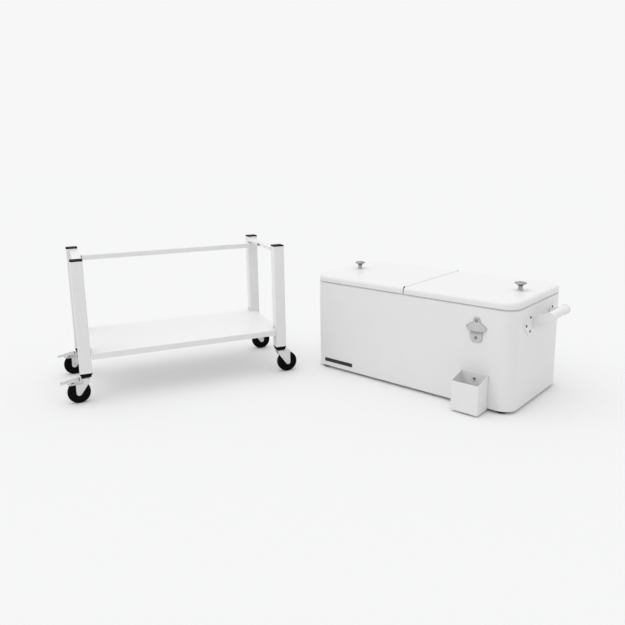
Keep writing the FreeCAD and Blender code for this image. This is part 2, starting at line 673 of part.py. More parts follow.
heads = rivet_rods("rivet_head", "rivet_head_radius", "bracket_sheet", "bracket_sheet + rivet_head_height")
node("handle_rivets", tub, *[joined(f"rivet_{i}", *pair) for i, pair in enumerate(zip(shanks, heads))])

# Drain: a bored fitting through the rear wall, its nut inside the basin, and a screw cap outside.
drain_sizes = {
    "drain_flange_radius": 15, "drain_flange_thick": 3, "drain_nut_radius": 13, "drain_nut_thick": 5,
    "drain_thread_reach": 12, "drain_cap_radius": 12, "drain_cap_length": 14, "drain_cap_top": 2,
    "drain_cap_fit": 0.05,
}
sizes(drain_sizes)
flange_face = f"{drain_y} + drain_flange_thick"
thread_end = f"{flange_face} + drain_thread_reach"
nut_face = f"{drain_y} - wall_thick - drain_nut_thick"
fitting = cut(
    "drain_fitting_body",
    joined(
        "drain_fitting_whole",
        rod("drain_pipe", "drain_pipe_radius", "drain_x", (nut_face, thread_end), drain_height),
        rod("drain_flange", "drain_flange_radius", "drain_x", (drain_y, flange_face), drain_height),
    ),
    rod(
        "drain_bore", "drain_bore_radius", "drain_x",
        (f"{nut_face} - overrun", f"{thread_end} + overrun"), drain_height,
    ),
)
node("drain_fitting", tub, fitting)
node("drain_nut", tub, cut(
    "drain_nut_body",
    rod("drain_nut_disc", "drain_nut_radius", "drain_x", (nut_face, f"{drain_y} - wall_thick"), drain_height),
    rod("drain_nut_bore", "drain_pipe_radius", "drain_x", (f"{nut_face} - overrun", drain_y), drain_height),
))
cap_start = f"{flange_face} + seat_gap"
node("drain_cap", tub, cut(
    "drain_cap_body",
    rod(
        "drain_cap_cup", "drain_cap_radius", "drain_x",
        (cap_start, f"{cap_start} + drain_cap_length"), drain_height,
    ),
    rod(
        "drain_cap_bore", "drain_pipe_radius + drain_cap_fit", "drain_x",
        (f"{cap_start} - overrun", f"{cap_start} + drain_cap_length - drain_cap_top"), drain_height,
    ),
))

# Cart: two welded side frames of square tube, each two posts with a low rail and a top rail between
# them, joined by the shelf and by one bar across the rear. The tub stands on the black post caps.
cart_sizes = {
    "post_span_x": 706, "post_span_y": 320, "post_width": 40, "post_depth": 38, "post_wall": 1.2,
    "post_corner": 4, "post_base": 104, "post_top": 490, "rail_width": 30, "rail_offset": 7,
    "rail_wall": 1.2, "rail_corner": 2.5, "low_rail_height": 20, "shelf_top": 171.5,
    "top_rail_height": 12, "top_rail_drop": 6, "top_rail_level": "=post_top - top_rail_drop",
    "rear_bar_height": 18, "rear_bar_depth": 20, "rear_bar_wall": 1.2, "rear_bar_drop": 24.5,
    "rear_bar_level": "=post_top - rear_bar_drop", "rear_bar_past_post": 10, "bolt_radius": 3,
    "bolt_head_radius": 5.5, "bolt_head_height": 4, "bolt_grip": 10, "rail_bolt_offset": 8,
    "rail_bolt_head_radius": 7, "rail_bolt_head_height": 5, "shelf_sheet": 1.2, "shelf_lip": 21,
    "shelf_side_fold": 15, "shelf_gap": 0.3, "tab_width": 24, "tab_rise": 20, "tab_bolt_rise": 10.5,
}
sizes(cart_sizes)
post_x = "post_span_x / 2"
post_y = "post_span_y / 2"
bar_front = f"{post_y} - post_depth / 2 - rear_bar_depth"
bar_back = f"{post_y} - post_depth / 2"
bar_z = ("rear_bar_level - rear_bar_height", "rear_bar_level")
bar_bolt_z = "rear_bar_level - rear_bar_height / 2"
tab_bolt_z = "shelf_top + tab_bolt_rise"


def mirrored(pair, s):
    """The same stretch, on the side that the sign gives."""
    return pair if s > 0 else (f"-({pair[1]})", f"-({pair[0]})")


def tube(name, x, y, z, wall, corner, along):
    """A rectangular tube with rounded long edges, open at both ends along the named axis."""
    inside = [
        (f"{low} - overrun", f"{high} + overrun") if axis == along else (f"{low} + {wall}", f"{high} - {wall}")
        for axis, (low, high) in zip("xyz", (x, y, z))
    ]
    outside = rounded(name + "_skin", block(name + "_outside", x, y, z), size(corner), lengthwise(along))
    hollow = block(name + "_inside", *inside)
    if size(corner) > size(wall):
        hollow = rounded(name + "_bore", hollow, size(corner) - size(wall), lengthwise(along))
    return cut(name, outside, hollow)


shelf_bolts = []
bolts = []
for side, s in left_and_right:
    rail_face = f"{post_x} - rail_offset - rail_width / 2"
    rail_x = mirrored((rail_face, f"{rail_face} + rail_width"), s)
    rail_y = (f"-({post_y} - post_depth / 2)", f"{post_y} - post_depth / 2")
    rail_levels = {
        "low_rail": ("shelf_top - low_rail_height", "shelf_top"),
        "top_rail": ("top_rail_level - top_rail_height", "top_rail_level"),
    }
    pieces = [
        tube(f"{rail}_{side}", rail_x, rail_y, levels, "rail_wall", "rail_corner", "y")
        for rail, levels in rail_levels.items()
    ]
    rail_bolt = ("-rail_bolt_offset", "top_rail_level - top_rail_height / 2")
    bolts.append(joined(
        f"rail_bolt_{side}",
        rod(
            f"rail_bolt_shank_{side}", "bolt_radius",
            mirrored((f"{rail_face} - rail_bolt_head_height", f"{rail_face} + bolt_grip"), s), *rail_bolt,
        ),
        rod(
            f"rail_bolt_head_{side}", "rail_bolt_head_radius",
            mirrored((f"{rail_face} - rail_bolt_head_height", rail_face), s), *rail_bolt,
        ),
    ))
    holes = [rod(
        f"rail_bolt_hole_{side}", "bolt_radius",
        mirrored((f"{rail_face} - overrun", f"{rail_face} + overrun"), s), *rail_bolt,
    )]
    for end, e in front_and_rear:
        spot = f"{side}_{end}"
        pieces.append(tube(
            f"post_{spot}",
            mirrored((f"{post_x} - post_width / 2", f"{post_x} + post_width / 2"), s),
            mirrored((f"{post_y} - post_depth / 2", f"{post_y} + post_depth / 2"), e),
            ("post_base", "post_top"), "post_wall", "post_corner", "z",
        ))
        face = f"{post_x} - post_width / 2"
        y = f"{e} * {post_y}"
        tip = mirrored((f"{face} - shelf_sheet", f"{face} + bolt_grip"), s)
        head = mirrored((f"{face} - shelf_sheet - bolt_head_height", f"{face} - shelf_sheet"), s)
        shelf_bolts.append(joined(
            f"shelf_bolt_{spot}",
            rod(f"shelf_bolt_shank_{spot}", "bolt_radius", tip, y, tab_bolt_z),
            rod(f"shelf_bolt_head_{spot}", "bolt_head_radius", head, y, tab_bolt_z),
        ))
        holes.append(rod(
            f"shelf_bolt_hole_{spot}", "bolt_radius",
            mirrored((f"{face} - overrun", f"{face} + overrun"), s), y, tab_bolt_z,
        ))
    x = f"{s} * {post_x}"
    bolt_seat = f"{post_y} + post_depth / 2"
    bolts.append(joined(
        f"bar_bolt_{side}",
        rod(f"bar_bolt_shank_{side}", "bolt_radius", x, (f"{bar_back} - bolt_grip", bolt_seat), bar_bolt_z),
        rod(
            f"bar_bolt_head_{side}", "bolt_head_radius", x,
            (bolt_seat, f"{bolt_seat} + bolt_head_height"), bar_bolt_z,
        ),
    ))
    holes.append(rod(
        f"bar_bolt_hole_{side}", "bolt_radius", x,
        (f"{bar_back} - overrun", f"{bolt_seat} + overrun"), bar_bolt_z,
    ))
    weld = joined(f"side_frame_{side}_weld", *pieces)
    node(f"side_frame_{side}", cart, cut(f"side_frame_{side}_body", weld, *holes))
node("frame_bolts", cart, *bolts)
node("shelf_bolts", cart, *shelf_bolts)

rear_bar_end = f"{post_x} + rear_bar_past_post"
bar_tube = tube(
    "rear_bar_tube", (f"-({rear_bar_end})", rear_bar_end), (bar_front, bar_back), bar_z,
    "rear_bar_wall", "rear_bar_wall", "x",
)
bar_holes = [
    rod(
        f"bar_wall_hole_{side}", "bolt_radius", f"{s} * {post_x}",
        (f"{bar_back} - bolt_grip", f"{bar_back} + overrun"), bar_bolt_z,
    )
    for side, s in left_and_right
]
node("rear_bar", cart, cut("rear_bar_body", bar_tube, *bar_holes))
plug_sizes = {
    "plug_cap": 3, "plug_depth": 6,
}
sizes(plug_sizes)
plugs = []
for side, s in left_and_right:
    cap_x = mirrored((rear_bar_end, f"{rear_bar_end} + plug_cap"), s)
    plug_x = mirrored((f"{rear_bar_end} - plug_depth", rear_bar_end), s)
    plugs.append(joined(
        f"bar_plug_{side}",
        block(f"bar_plug_cap_{side}", cap_x, (bar_front, bar_back), bar_z),
        block(
            f"bar_plug_stem_{side}", plug_x, (f"{bar_front} + rear_bar_wall", f"{bar_back} - rear_bar_wall"),
            (f"{bar_z[0]} + rear_bar_wall", f"{bar_z[1]} - rear_bar_wall"),
        ),
    ))
node("bar_end_plugs", cart, *plugs)

# Shelf: one folded sheet between the side frames, with lips down at the front and rear, short folds
# down along the rails, and a tab up at each corner that is bolted to its post.
shelf_x = f"{post_x} - rail_offset - rail_width / 2 - shelf_gap"
shelf_y = f"{post_y} + post_depth / 2"
shelf_z = ("shelf_top - shelf_sheet", "shelf_top")
shelf_pieces = [block("shelf_sheet_top", (f"-({shelf_x})", shelf_x), (f"-({shelf_y})", shelf_y), shelf_z)]
for end, e in front_and_rear:
    lip_y = mirrored((f"{shelf_y} - shelf_sheet", shelf_y), e)
    shelf_pieces.append(block(
        f"shelf_lip_{end}", (f"-({shelf_x})", shelf_x), lip_y, ("shelf_top - shelf_lip", "shelf_top"),
    ))
    for side, s in left_and_right:
        tab_y = mirrored((f"{post_y} - tab_width / 2", f"{post_y} + tab_width / 2"), e)
        face = f"{post_x} - post_width / 2"
        ear_x = mirrored((f"{shelf_x} - tab_rise", face), s)
        shelf_pieces.append(block(f"shelf_ear_{side}_{end}", ear_x, tab_y, shelf_z))
        shelf_pieces.append(block(
            f"shelf_tab_{side}_{end}", mirrored((f"{face} - shelf_sheet", face), s), tab_y,
            ("shelf_top - shelf_sheet", "shelf_top + tab_rise"),
        ))
for side, s in left_and_right:
    shelf_pieces.append(block(
        f"shelf_fold_{side}", mirrored((f"{shelf_x} - shelf_sheet", shelf_x), s),
        (f"-({post_y} - post_depth / 2)", f"{post_y} - post_depth / 2"),
        ("shelf_top - shelf_side_fold", "shelf_top"),
    ))
tab_holes = [
    rod(
        f"tab_hole_{side}_{end}", "bolt_radius",
        mirrored((f"{post_x} - post_width / 2 - overrun", f"{post_x} - post_width / 2 + overrun"), s),
        f"{e} * {post_y}", tab_bolt_z,
    )
    for side, s in left_and_right for end, e in front_and_rear
]
node("shelf", cart, cut("shelf_body", joined("shelf_whole", *shelf_pieces), *tab_holes))

# Post ends: a thin black cap in each top, which carries a foot of the tub, and a black socket in
# each bottom that holds a caster's stem.
cap_sizes = {
    "cap_height": 4.5, "cap_overhang": 0.5, "cap_edge": 2.5, "plug_clear": 0.3, "cap_plug": 12,
    "collar_height": 6, "socket_height": 14, "socket_inset": 3, "socket_plug": 26, "stem_radius": 5,
}
sizes(cap_sizes)


def post_block(name, x, y, insets, z, s=1):
    """A block round a post's axis, drawn in by the insets, or out where the sign is negative."""
    inset = " + ".join(insets) if insets else "0"
    half_x = f"(post_width / 2 - {s} * ({inset}))"
    half_y = f"(post_depth / 2 - {s} * ({inset}))"
    plan = ((f"{x} - {half_x}", f"{x} + {half_x}"), (f"{y} - {half_y}", f"{y} + {half_y}"))
    raw = block(name + "_raw", *plan, z)
    corner = size("post_corner") - s * sum(size(alias) for alias in insets)
    return rounded(name, raw, corner, upright)


caps = []
sockets = []
for side, s in left_and_right:
    for end, e in front_and_rear:
        spot = f"{side}_{end}"
        x = f"{s} * {post_x}"
        y = f"{e} * {post_y}"
        inside = ("post_wall", "plug_clear")
        cap_z = ("post_top", "post_top + cap_height")
        dome = rounded(
            f"cap_dome_{spot}", post_block(f"cap_block_{spot}", x, y, ("cap_overhang",), cap_z, s=-1),
            size("cap_edge"), on_top,
        )
        cap_stem = post_block(f"cap_plug_{spot}", x, y, inside, ("post_top - cap_plug", "post_top"))
        caps.append(joined(f"cap_{spot}", dome, cap_stem))
        sockets.append(cut(
            f"socket_{spot}",
            joined(
                f"socket_whole_{spot}",
                post_block(f"socket_collar_{spot}", x, y, (), ("post_base - collar_height", "post_base")),
                post_block(
                    f"socket_step_{spot}", x, y, ("socket_inset",),
                    ("post_base - socket_height", "post_base - collar_height"),
                ),
                post_block(f"socket_plug_{spot}", x, y, inside, ("post_base", "post_base + socket_plug")),
            ),
            rod(
                f"socket_bore_{spot}", "stem_radius", x, y,
                ("post_base - socket_height - overrun", "post_base + socket_plug + overrun"),
            ),
        ))
node("post_caps", cart, *caps)
node("caster_sockets", cart, *sockets)

# Casters: a stem with its race stays in the socket, the fork swivels on it, and the wheel turns on
# an axle through the fork. The pair on the left end also has brake pedals.
wheel_sizes = {
    "wheel_radius": 38, "wheel_width": 24, "hub_width": 26, "hub_radius": 10, "web_width": 18,
    "tread_width": 16, "tyre_inner_radius": 29, "axle_radius": 4, "axle_fit": 0.05,
    "axle_head_radius": 7.5, "axle_head_length": 3.5, "half_turn": 180, "caster_trail": 27,
    "fork_width": 33, "fork_sheet": 2.5, "fork_top": 86.5, "crown_thick": 4, "crown_front": 13,
    "crown_rear": 22, "fork_hub_radius": 9, "race_radius": 16, "race_gap": 0.3, "stem_fit": 0.05,
    "stem_head_radius": 10, "stem_head_height": 3.2, "stem_rise": 20, "pivot_x": 20, "pivot_z": 79,
    "pivot_radius": 2.5, "pedal_width": 38, "pedal_tip_width": 26, "pedal_sheet": 1.8, "pedal_reach": 85,
    "pedal_start": 24, "pedal_bend": 64, "pedal_top": 85, "pedal_bend_height": 78, "pedal_tip_height": 76,
    "cheek_base": 69, "cheek_front": 13, "cheek_rear": 54, "shoe_x": 34, "shoe_thick": 4,
    "shoe_width": 18, "shoe_base": 77.6,
}
sizes(wheel_sizes)
stems = []
race = "post_base - socket_height"
for side, s in left_and_right:
    for end, e in front_and_rear:
        spot = f"{side}_{end}"
        x = f"{s} * {post_x}"
        y = f"{e} * {post_y}"
        crown_under = "fork_top - crown_thick - race_gap"
        stems.append(joined(
            f"stem_{spot}",
            rod(f"stem_rod_{spot}", "stem_radius", x, y, (crown_under, f"{race} + socket_height + stem_rise")),
            rod(f"stem_race_{spot}", "race_radius", x, y, ("fork_top + race_gap", race)),
            rod(
                f"stem_head_{spot}", "stem_head_radius", x, y,
                (f"{crown_under} - stem_head_height", crown_under),
            ),
        ))
node("caster_stems", cart, *stems)

wheel_shares = (
    ("axle_radius + axle_fit", "hub_width"), ("hub_radius", "hub_width"), ("hub_radius", "web_width"),
    ("tyre_inner_radius", "web_width"), ("tyre_inner_radius", "wheel_width"),
    ("(wheel_radius + tyre_inner_radius) / 2", "wheel_width"), ("wheel_radius", "tread_width"),
)
wheel_profile = [(radius, f"-{width} / 2") for radius, width in wheel_shares]
wheel_profile += [(radius, f"{width} / 2") for radius, width in reversed(wheel_shares)]
axle_x = "-caster_trail"
leg_rear = "-caster_trail - fork_hub_radius"
leg_front_points = (
    ("crown_front", "fork_top"), ("crown_front", "fork_top - 2 * crown_thick"),
    ("-caster_trail + fork_hub_radius * 0.8", "wheel_radius - fork_hub_radius * 0.6"),
    (leg_rear, "wheel_radius"),
)
leg_rear_points = {
    "left": (
        (leg_rear, "cheek_base"), ("-crown_rear", "fork_top - 2 * crown_thick"), ("-crown_rear", "fork_top"),
    ),
    "right": ((leg_rear, "fork_top"),),
}
crown_ends = {"left": "-crown_rear", "right": leg_rear}
pedal_points = (
    ("-pedal_start", "pedal_top"), ("-pedal_start", "pedal_top - pedal_sheet"),
    ("-pedal_bend", "pedal_bend_height - pedal_sheet"), ("-pedal_bend", "pedal_bend_height"),
)
tip_points = (
    ("-pedal_bend", "pedal_bend_height"), ("-pedal_bend", "pedal_bend_height - pedal_sheet"),
    ("-pedal_reach", "pedal_tip_height - pedal_sheet"), ("-pedal_reach", "pedal_tip_height"),
)
cheek_points = (
    ("-cheek_front", "pedal_top - 2 * pedal_sheet"), ("-cheek_front", "cheek_base + pedal_sheet"),
    ("-cheek_front - pedal_sheet", "cheek_base"), ("-cheek_rear", "cheek_base"),
    ("-pedal_bend", "pedal_bend_height - pedal_sheet"), ("-pedal_start", "pedal_top - pedal_sheet"),
)
for side, s in left_and_right:
    for end, e in front_and_rear:
        spot = f"{side}_{end}"
        across = f"{s} * {post_x}"
        along = f"{e} * {post_y}"
        place = (
            f"cart_place_x + {across} * cos(cart_turn) - {along} * sin(cart_turn)",
            f"cart_place_y + {across} * sin(cart_turn) + {along} * cos(cart_turn)",
            "cart_turn" if s < 0 else "cart_turn + half_turn",
        )
        fork_pieces = [
            block(
                f"fork_crown_{spot}", (crown_ends[side], "crown_front"), ("-fork_width / 2", "fork_width / 2"),
                ("fork_top - crown_thick", "fork_top"),
            ),
        ]
        for cheek, c in left_and_right:
            leg_y = mirrored(("fork_width / 2 - fork_sheet", "fork_width / 2"), c)
            leg_points = leg_front_points + leg_rear_points[side]
            fork_pieces.append(plate(f"fork_leg_{spot}_{cheek}", leg_points, y=leg_y))
            hub = rod(f"fork_hub_{spot}_{cheek}", "fork_hub_radius", axle_x, leg_y, "wheel_radius")
            fork_pieces.append(hub)
            if s < 0:
                pin_y = mirrored(("fork_width / 2 - fork_sheet", "pedal_width / 2"), c)
                pivot = rod(f"fork_pivot_{spot}_{cheek}", "pivot_radius", "-pivot_x", pin_y, "pivot_z")
                fork_pieces.append(pivot)
        node(f"fork_{spot}", place, cut(
            f"fork_body_{spot}", joined(f"fork_whole_{spot}", *fork_pieces),
            rod(
                f"fork_stem_hole_{spot}", "stem_radius + stem_fit", "0", "0",
                ("fork_top - crown_thick - overrun", "fork_top + overrun"),
            ),
            rod(
                f"fork_axle_hole_{spot}", "axle_radius", axle_x,
                ("-fork_width / 2 - overrun", "fork_width / 2 + overrun"), "wheel_radius",
            ),
        ))
        node(f"axle_{spot}", place, joined(
            f"axle_body_{spot}",
            rod(
                f"axle_rod_{spot}", "axle_radius", axle_x,
                ("-fork_width / 2 - axle_head_length", "fork_width / 2 + axle_head_length"), "wheel_radius",
            ),
            *[
                rod(
                    f"axle_head_{spot}_{cheek}", "axle_head_radius", axle_x,
                    mirrored(("fork_width / 2", "fork_width / 2 + axle_head_length"), c), "wheel_radius",
                )
                for cheek, c in left_and_right
            ],
        ))
        node(f"wheel_{spot}", place, turned(
            f"wheel_body_{spot}", wheel_profile, axle_x, "0", "wheel_radius", along="y",
        ))
        if s < 0:
            pedal = [
                plate(f"pedal_plate_{spot}", pedal_points, y=("-pedal_width / 2", "pedal_width / 2")),
                plate(f"pedal_tip_{spot}", tip_points, y=("-pedal_tip_width / 2", "pedal_tip_width / 2")),
                block(
                    f"pedal_shoe_{spot}", ("-shoe_x - shoe_thick / 2", "-shoe_x + shoe_thick / 2"),
                    ("-shoe_width / 2", "shoe_width / 2"), ("shoe_base", "pedal_top - 1.5 * pedal_sheet"),
                ),
            ]
            for cheek, c in left_and_right:
                cheek_y = mirrored(("pedal_width / 2 - pedal_sheet", "pedal_width / 2"), c)
                pedal.append(plate(f"pedal_cheek_{spot}_{cheek}", cheek_points, y=cheek_y))
            node(f"brake_pedal_{end}", place, cut(
                f"pedal_body_{spot}", joined(f"pedal_whole_{spot}", *pedal),
                rod(
                    f"pedal_pivot_hole_{spot}", "pivot_radius + axle_fit", "-pivot_x",
                    ("-pedal_width / 2 - overrun", "pedal_width / 2 + overrun"), "pivot_z",
                ),
            ))

# Check the whole document, then write one file for each sub-part.
doc.recompute()
for thing in doc.Objects:
    if "Invalid" in thing.State or "Error" in thing.State:
        raise RuntimeError(f"{thing.Name} failed: {thing.State}")
for part in nodes:
    if part.Shape.isNull() or not part.Shape.isValid() or not part.Shape.Solids:
        raise RuntimeError(f"{part.Label} has no valid solid")
os.makedirs("parts", exist_ok=True)
for part in nodes:
    part.Shape.exportStep(f"parts/{part.Label}.step")
    print(part.Label, len(part.Shape.Solids), round(part.Shape.Volume))
print(len(nodes), "sub-parts")
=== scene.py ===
import bmesh
import bpy
import json
import math
from mathutils import Matrix, Vector


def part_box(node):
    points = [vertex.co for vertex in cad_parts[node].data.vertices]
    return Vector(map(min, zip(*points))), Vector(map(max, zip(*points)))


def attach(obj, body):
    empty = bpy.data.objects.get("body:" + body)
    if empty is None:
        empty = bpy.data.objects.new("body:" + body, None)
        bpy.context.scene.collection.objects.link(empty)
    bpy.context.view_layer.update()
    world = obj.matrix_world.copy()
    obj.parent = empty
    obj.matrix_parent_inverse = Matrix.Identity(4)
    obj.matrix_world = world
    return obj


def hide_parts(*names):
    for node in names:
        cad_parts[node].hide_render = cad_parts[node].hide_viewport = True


# The cooler and its cart as packed: every node stands where it belongs, in metres, and the joints
# say where the lids hinge, the casters swivel and the wheels turn.
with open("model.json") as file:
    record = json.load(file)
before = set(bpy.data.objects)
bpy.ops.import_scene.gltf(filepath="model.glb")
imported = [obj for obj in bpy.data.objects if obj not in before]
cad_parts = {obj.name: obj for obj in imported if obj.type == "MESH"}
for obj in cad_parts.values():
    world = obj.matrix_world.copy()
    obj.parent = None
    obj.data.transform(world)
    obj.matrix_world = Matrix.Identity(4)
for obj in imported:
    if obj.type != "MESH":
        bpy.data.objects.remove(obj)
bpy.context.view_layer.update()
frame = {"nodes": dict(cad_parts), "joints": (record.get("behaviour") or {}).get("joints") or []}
nodes = frame["nodes"]
joints = {joint["name"]: joint for joint in frame["joints"]}
sides = ("left", "right")
ends = ("front", "rear")
corners = [f"{side}_{end}" for side in sides for end in ends]

# Camera: 0.83 m up, in front of the tub's right end, looking down across both pieces. The picture is
# cut a little low, so the lens's axis lies above its middle.
camera_place = Vector((1.48525, -1.5727, 0.8304))
camera_heading = math.radians(41.43)
camera_pitch = 0.201
camera_roll = -0.015
camera_focus_px = 628.5
camera_axis_row = 280.2
picture_px = 625

camera = bpy.data.objects.new("camera", bpy.data.cameras.new("camera"))
bpy.context.scene.collection.objects.link(camera)
bpy.context.scene.camera = camera
turn = Matrix.Rotation(camera_heading, 4, "Z") @ Matrix.Rotation(math.pi / 2 - camera_pitch, 4, "X")
camera.matrix_world = Matrix.Translation(camera_place) @ turn @ Matrix.Rotation(camera_roll, 4, "Z")
camera.data.sensor_width = 36
camera.data.lens = camera.data.sensor_width * camera_focus_px / picture_px
camera.data.shift_y = (camera_axis_row - picture_px / 2) / picture_px
camera.data.clip_end = 60
bpy.context.scene.view_settings.view_transform = "Standard"


class Wire:
    """An output socket of a node tree. Arithmetic on it adds Math nodes."""

    def __init__(self, tree, socket=None):
        self.tree = tree
        self.socket = socket

    def add(self, kind, settings=None, sockets=None, output=0):
        """Add a node of that type: its settings first, then the values or links of its sockets."""
        made = self.tree.nodes.new("ShaderNode" + kind)
        for name, value in (settings or {}).items():
            setattr(made, name, value)
        for name, value in (sockets or {}).items():
            if isinstance(value, Wire):
                self.tree.links.new(value.socket, made.inputs[name])
            else:
                made.inputs[name].default_value = value
        return Wire(self.tree, made.outputs[output] if made.outputs else None)

    def math(self, operation, *terms):
        return self.add("Math", {"operation": operation}, dict(enumerate(terms)))

    def __add__(self, other):
        return self.math("ADD", self, other)

    def __radd__(self, other):
        return self.math("ADD", other, self)

    def __sub__(self, other):
        return self.math("SUBTRACT", self, other)

    def __rsub__(self, other):
        return self.math("SUBTRACT", other, self)

    def __mul__(self, other):
        return self.math("MULTIPLY", self, other)

    def __rmul__(self, other):
        return self.math("MULTIPLY", other, self)

    def seen(self):
        """1 for what the camera sees, straight or in metal and glass, and 0 for what only gives light."""
        straight = self.add("LightPath", output="Is Camera Ray")
        mirrored = self.add("LightPath", output="Is Glossy Ray")
        through = self.add("LightPath", output="Is Transmission Ray")
        return self.math("MAXIMUM", straight, self.math("MAXIMUM", mirrored, through))

    def blend(self, low, high):
        """The colour between two colours that this share picks."""
        settings = {"data_type": "RGBA"}
        return self.add("Mix", settings, {0: self, 6: low, 7: high}, output=2)


# Room: a plain pale floor that runs into a background of the same tone, under a broad soft light from
# above that fades a little towards the horizon. The side that the tub's front right corner faces is
# dimmer, so that the corner looks a little greyer than the walls beside it.
background_level = 0.93
zenith_level = 0.94
zenith_height = 0.9
horizon_level = 0.9
horizon_height = -0.1
dim_side = (0.656, -0.755, 0)
dim_share = 0.36
room_tone = (0.985, 1, 0.993, 1)
lamp_strength = 0.9
lamp_width = math.radians(70)
lamp_tilt = math.radians(22)
lamp_heading = math.radians(-28)
floor_tone = 0.805
floor_glow = 0.3
floor_reach = 30
painted_contact_shadow_reach = 0.07
painted_shade_samples = 6


def grey(level):
    """A neutral colour of that level."""
    return (level, level, level, 1)


world = bpy.data.worlds.new("room")
world.use_nodes = True
world.node_tree.nodes.clear()
sky = Wire(world.node_tree)
look = sky.add("TexCoord", output=0)
height = sky.add("SeparateXYZ", None, {0: look}, output=2)
dimness = sky.add("VectorMath", {"operation": "DOT_PRODUCT"}, {0: look, 1: dim_side}, output=1)
dimness = dimness.math("MAXIMUM", dimness, 0)
ramp = sky.add("MapRange", None, {
    0: height, 1: horizon_height, 2: zenith_height, 3: horizon_level, 4: zenith_level,
})
seen = sky.seen()
level = seen * background_level + (1 - seen) * ramp * (1 - dim_share * dimness * dimness)
tint = seen.blend(room_tone, grey(1))
shown = sky.add("Background", None, {"Color": tint, "Strength": level})
sky.add("OutputWorld", None, {"Surface": shown})
bpy.context.scene.world = world

lamp = bpy.data.objects.new("soft_lamp", bpy.data.lights.new("soft_lamp", "SUN"))
lamp.data.energy = lamp_strength
lamp.data.angle = lamp_width
lamp.matrix_world = Matrix.Rotation(lamp_heading, 4, "Z") @ Matrix.Rotation(lamp_tilt, 4, "X")
bpy.context.scene.collection.objects.link(lamp)


def blank_material(name):
    """A material emptied of its nodes, or a new one, and the wire its nodes start from."""
    made = bpy.data.materials.get(name) or bpy.data.materials.new(name)
    made.use_nodes = True
    made.node_tree.nodes.clear()
    return made, Wire(made.node_tree)


pale_floor, start = blank_material("pale_floor")
matt = start.add("BsdfDiffuse", None, {"Color": grey(floor_tone)})
glow = start.add("Emission", None, {"Color": grey(background_level)})
# The floor's glow fades where ambient occlusion finds pieces close by: a painted contact shadow under and
# beside them.
painted_shade_openness = start.add("AmbientOcclusion", {"samples": painted_shade_samples}, {"Distance": painted_contact_shadow_reach}, output=1)
share = start.seen() * floor_glow * painted_shade_openness
start.add("OutputMaterial", None, {"Surface": start.add("MixShader", None, {0: share, 1: matt, 2: glow})})
floor_mesh = bpy.data.meshes.new("floor")
floor_mesh.from_pydata([(-1, -1, 0), (1, -1, 0), (1, 1, 0), (-1, 1, 0)], [], [(0, 1, 2, 3)])
floor_mesh.transform(Matrix.Scale(floor_reach, 4))
floor_mesh.materials.append(pale_floor)
floor = bpy.data.objects.new("floor", floor_mesh)
bpy.context.scene.collection.objects.link(floor)

# Side frames: at each end of the cart two square tube posts are welded to a low rail and a flat top
# rail, with a small bead round each rail end, then sprayed white. The powder leaves a fine orange
# peel and a slightly uneven gloss.
white_tone = (0.80, 0.80, 0.795, 1)
white_shade = (0.775, 0.775, 0.77, 1)
tube_edge = 0.0006
post_width = 0.040
post_depth = 0.038
rail_inset = 0.007
rail_width = 0.030
rail_levels = {"low": (0.1515, 0.1715), "top": (0.472, 0.484)}
bead_size = 0.0022
bead_shares = ((0, 0), (1, 0), (0.8, 0.45), (0.45, 0.8), (0, 1))
bead_pitch = 0.0008
bead_ripple_share = 0.12
bead_ripple_steps = 3
fill_shares = ((0, 0), (1, 0), (0.9, 0.4), (0.5, 0.85), (0, 1))
same_spot = 0.00001
flat_angle = math.radians(0.5)
sharp_angle = math.radians(40)
edge_steps = 2


def coated(name, tones, rough, grain, depth, patch=9, **uniform):
    """A finish of two close tones in soft patches, with uneven gloss and a fine raised grain.

    What else is named, such as Metallic, goes to the shader's own socket and is the same all over.
    """
    made, start = blank_material(name)
    place = start.add("TexCoord", output=3)
    patches = start.add("TexNoise", None, {"Vector": place, "Scale": patch, "Detail": 3})
    grains = start.add("TexNoise", None, {"Vector": place, "Scale": grain, "Detail": 2})
    bump = start.add("Bump", None, {"Height": grains, "Distance": depth, "Strength": 0.6})
    roughness = patches * (rough[1] - rough[0]) + rough[0]
    sockets = {"Base Color": patches.blend(*tones), "Roughness": roughness, "Normal": bump}
    sockets.update({key.replace("_", " "): value for key, value in uniform.items()})
    surface = start.add("BsdfPrincipled", None, sockets)
    start.add("OutputMaterial", None, {"Surface": surface})
    return made


def soften(piece, edge):
    """Join up a mesh's facets, round its sharp edges and shade it smooth."""
    piece.data.polygons.foreach_set("use_smooth", [True] * len(piece.data.polygons))
    weld = piece.modifiers.new("weld", "WELD")
    weld.merge_threshold = same_spot
    flat = piece.modifiers.new("flat", "DECIMATE")
    flat.decimate_type = "DISSOLVE"
    flat.angle_limit = flat_angle
    if edge:
        bevel = piece.modifiers.new("edges", "BEVEL")
        bevel.width = edge
        bevel.segments = edge_steps
        bevel.limit_method = "ANGLE"
        bevel.angle_limit = sharp_angle
        bevel.harden_normals = True
    normals = piece.modifiers.new("normals", "WEIGHTED_NORMAL")
    normals.keep_sharp = True


def dress(material, edge, *names):
    """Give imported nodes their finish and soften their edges."""
    for name in names:
        nodes[name].data.materials.clear()
        nodes[name].data.materials.append(material)
        soften(nodes[name], edge)


def frame_at(origin, forward):
    """A place on the floor under a point, with +X along a level direction."""
    ahead = Vector((forward[0], forward[1], 0)).normalized()
    aside = Vector((-ahead.y, ahead.x, 0))
    turned = Matrix((ahead, aside, (0, 0, 1))).transposed().to_4x4()
    return Matrix.Translation((origin[0], origin[1], 0)) @ turned


